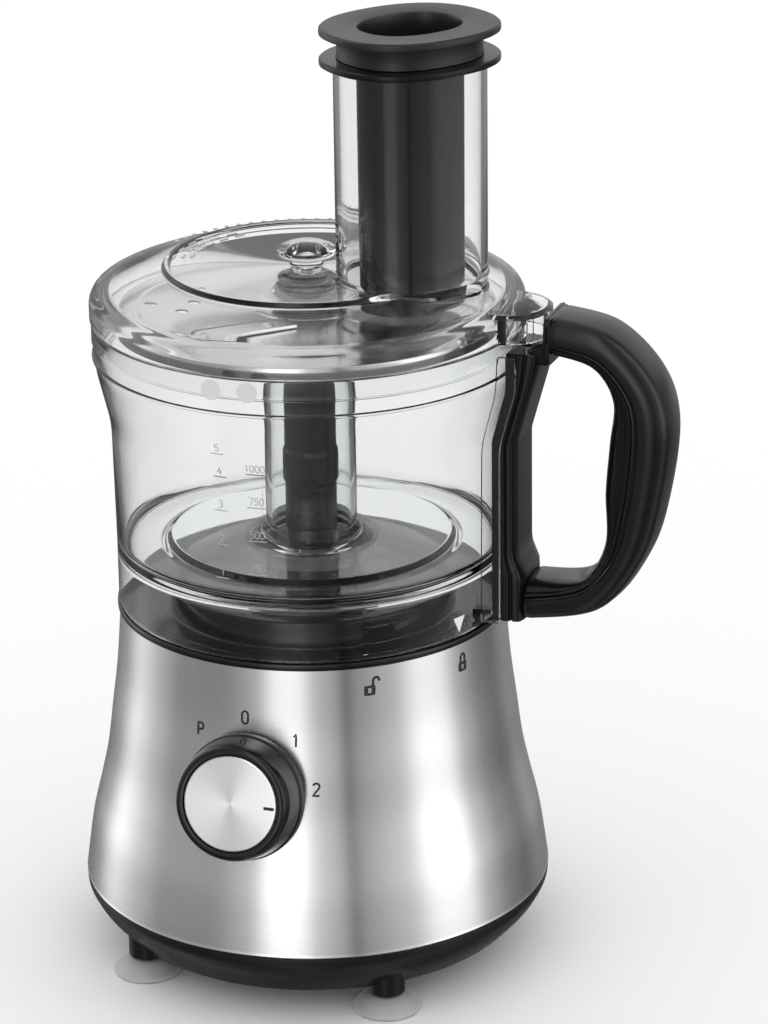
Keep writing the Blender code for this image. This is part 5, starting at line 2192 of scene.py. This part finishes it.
@dataclass
class Studio:
    """The floor, the light from all round and the camera."""

    drawing: Drawing
    camera_azimuth: float = math.radians(-69.0)
    camera_reach: float = 1555.2
    camera_height: float = 767.6
    side_turn: float = math.radians(1.068)
    down_turn: float = math.radians(20.63)
    roll: float = -0.0126
    lens: float = 145.9
    white: float = 1.04
    steep_white: float = 0.42
    steep_range: Point2 = (0.3, 0.62)
    overhead: float = 0.8
    overhead_range: Point2 = (0.82, 0.98)
    back_direction: Point2 = (-0.358, 0.934)
    back_spread: Point2 = (0.2, 0.7)
    back_range: Point2 = (0.06, 0.28)
    low_range: Point2 = (-0.36, -0.14)
    low_share: float = 0.28
    floor_side: float = 6.0
    floor_drop: float = 0.0004
    floor_shade: float = 0.97
    floor_painted_reflection_shade: float = 0.22
    panels: tuple[tuple[float, float], ...] = (
        (-180.0, 1.5),
        (-168.0, 0.9),
        (-152.0, 0.48),
        (-122.0, 0.45),
        (-104.0, 0.75),
        (-90.0, 2.1),
        (-80.0, 2.1),
        (-68.0, 0.9),
        (-57.0, 0.7),
        (-52.0, 0.12),
        (-46.0, 0.55),
        (-25.0, 0.85),
        (-6.0, 2.0),
        (6.0, 2.0),
        (22.0, 0.8),
        (38.0, 0.4),
        (54.0, 0.28),
        (72.0, 0.6),
        (100.0, 0.6),
        (122.0, 0.35),
        (150.0, 0.7),
        (172.0, 2.0),
        (180.0, 1.5),
    )

    def build(self) -> None:
        """Sets the light, lays the floor and places the camera."""
        self.make_world()
        self.make_floor()
        self.place_camera()
        scene = bpy.context.scene
        scene.view_settings.view_transform = "Standard"
        scene.cycles.max_bounces = 24
        scene.cycles.transmission_bounces = 24
        scene.cycles.transparent_max_bounces = 32
        scene.cycles.caustics_reflective = True
        scene.cycles.caustics_refractive = True

    def make_world(self) -> None:
        """White all round, and soft upright panels for what reflects it."""
        world = bpy.data.worlds.new("white_studio")
        world.use_nodes = True
        world.cycles.sampling_method = "NONE"
        bpy.context.scene.world = world
        tree = ShaderTree(world.node_tree)
        background = world.node_tree.nodes["Background"]
        out = world.node_tree.nodes["World Output"]
        where = tree.add("ShaderNodeTexCoord").outputs["Generated"]
        split = tree.add("ShaderNodeSeparateXYZ", {0: where})
        path = tree.add("ShaderNodeLightPath")
        mirrored = tree.math("MINIMUM", path.outputs["Glossy Depth"], 1.0)
        steep = tree.remap(split.outputs["Z"], *self.steep_range, 0.0, 1.0)
        refracted = tree.math("MULTIPLY", steep, path.outputs["Is Transmission Ray"])
        through = tree.blend(refracted, grey(self.white), grey(self.steep_white))
        seen = tree.blend(mirrored, through, self.reflected_light(tree, split))
        tree.link(seen, background.inputs["Color"])
        background.inputs["Strength"].default_value = 1.0
        tree.link(background.outputs[0], out.inputs["Surface"])

    def reflected_light(self, tree: ShaderTree, split: bpy.types.Node) -> bpy.types.NodeSocket:
        """What a glossy surface sees: the panels, a soft overhead, a white back and a dim lower side.

        Args:
            tree: The world's tree.
            split: The direction's three parts.

        Returns:
            The colour socket.
        """
        east, north, up = (split.outputs[name] for name in "XYZ")
        share = tree.remap(tree.math("ARCTAN2", north, east), -math.pi, math.pi, 0.0, 1.0)
        ramp = tree.add("ShaderNodeValToRGB", {"Fac": share})
        ramp.color_ramp.interpolation = "EASE"
        stops = ramp.color_ramp.elements
        for i, (azimuth, level) in enumerate(self.panels):
            at = (azimuth + 180.0) / 360.0
            stop = stops[i] if i < 2 else stops.new(at)
            stop.position = at
            stop.color = grey(level)
        high = tree.remap(up, *self.overhead_range, 0.0, 1.0)
        overhead = tree.blend(high, ramp.outputs["Color"], grey(self.overhead))
        back_east, back_north = self.back_direction
        behind = tree.math(
            "ADD", tree.math("MULTIPLY", east, back_east), tree.math("MULTIPLY", north, back_north)
        )
        aside = tree.remap(behind, *self.back_spread, 0.0, 1.0)
        above = tree.remap(up, *self.back_range, 0.0, 1.0)
        backdrop = tree.blend(tree.math("MULTIPLY", aside, above), overhead, grey(1.0))
        dim = tree.remap(up, *self.low_range, self.low_share, 1.0)
        dimmed = tree.add("ShaderNodeVectorMath", {0: backdrop, "Scale": dim}, operation="SCALE")
        return dimmed.outputs[0]

    def make_floor(self) -> None:
        """A wide pale floor that fades into the white, with painted shade: dark grey where a path reaches it
        after a glossy bounce.
        """
        mesh = bpy.data.meshes.new("floor")
        corners = [(x * self.floor_side, y * self.floor_side, 0.0) for x, y in SQUARE]
        mesh.from_pydata(corners, [], [(0, 1, 2, 3)])
        floor = bpy.data.objects.new("pale_floor", mesh)
        bpy.context.scene.collection.objects.link(floor)
        floor.location.z = -self.floor_drop
        floor.visible_glossy = False
        made = bpy.data.materials.new("pale_floor")
        made.use_nodes = True
        shader = made.node_tree.nodes["Principled BSDF"]
        tree = ShaderTree(made.node_tree)
        # Painted shade: after a glossy bounce the floor's colour drops to a dark grey, so what is seen in
        # reflections gets less light back from the floor.
        reflected = tree.math("MINIMUM", tree.add("ShaderNodeLightPath").outputs["Glossy Depth"], 1.0)
        paint = tree.blend(reflected, grey(self.floor_shade), grey(self.floor_painted_reflection_shade))
        tree.link(paint, shader.inputs["Base Color"])
        shader.inputs["Roughness"].default_value = 0.9
        shader.inputs["Specular IOR Level"].default_value = 0.0
        mesh.materials.append(made)

    def place_camera(self) -> None:
        """Puts the camera up and to one side of the knob, looking a little down."""
        turn = Matrix.Rotation(self.camera_azimuth + math.pi / 2.0, 3, "Z")
        ahead = Vector(
            (
                math.sin(self.side_turn) * math.cos(self.down_turn),
                math.cos(self.side_turn) * math.cos(self.down_turn),
                -math.sin(self.down_turn),
            )
        )
        right = Vector((math.cos(self.side_turn), -math.sin(self.side_turn), 0.0))
        up = right.cross(ahead)
        c, s = math.cos(self.roll), math.sin(self.roll)
        rolled_right = right * c + up * s
        rolled_up = up * c - right * s
        columns = [turn @ rolled_right, turn @ rolled_up, turn @ -ahead]
        data = bpy.data.cameras.new("studio_camera")
        data.lens = self.lens
        data.sensor_width = 36.0
        data.sensor_fit = "AUTO"
        data.clip_start = 0.01
        camera = bpy.data.objects.new("studio_camera", data)
        bpy.context.scene.collection.objects.link(camera)
        reach = self.camera_reach
        place = self.drawing.at(
            reach * math.cos(self.camera_azimuth), reach * math.sin(self.camera_azimuth), self.camera_height
        )
        camera.matrix_world = Matrix.Translation(place) @ Matrix(columns).transposed().to_4x4()
        bpy.context.scene.camera = camera


def dress_frame_parts(frame: dict[str, object]) -> None:
    """Gives every frame part that is still its own body the finish of its record slot.
    """
    slots = {part["node"]: part["material_slot"] for part in frame["record"]["subparts"]}
    for node, made in frame["nodes"].items():
        finish = CARRIED_FINISHES[Slot(slots[node])]
        made.data.materials.clear()
        made.data.materials.append(finish.material())


def main(frame: dict[str, object]) -> None:
    """Builds the sub-assemblies in order, from the worktop up.
    """
    logging.basicConfig(level=logging.INFO, format="%(name)s: %(message)s")
    drawing = Drawing()
    Studio(drawing).build()
    dress_frame_parts(frame)
    housing = Housing(drawing)
    housing.build()
    Dial(drawing, housing).build()
    DriveTower(drawing).build()
    Bowl(drawing).build()
    Handle(drawing).build()
    SlicingDisc(drawing).build()
    lid = Lid(drawing)
    lid.build()
    Pusher(drawing, lid).build()


if __name__ == "__main__":
    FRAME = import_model()
    main(FRAME)
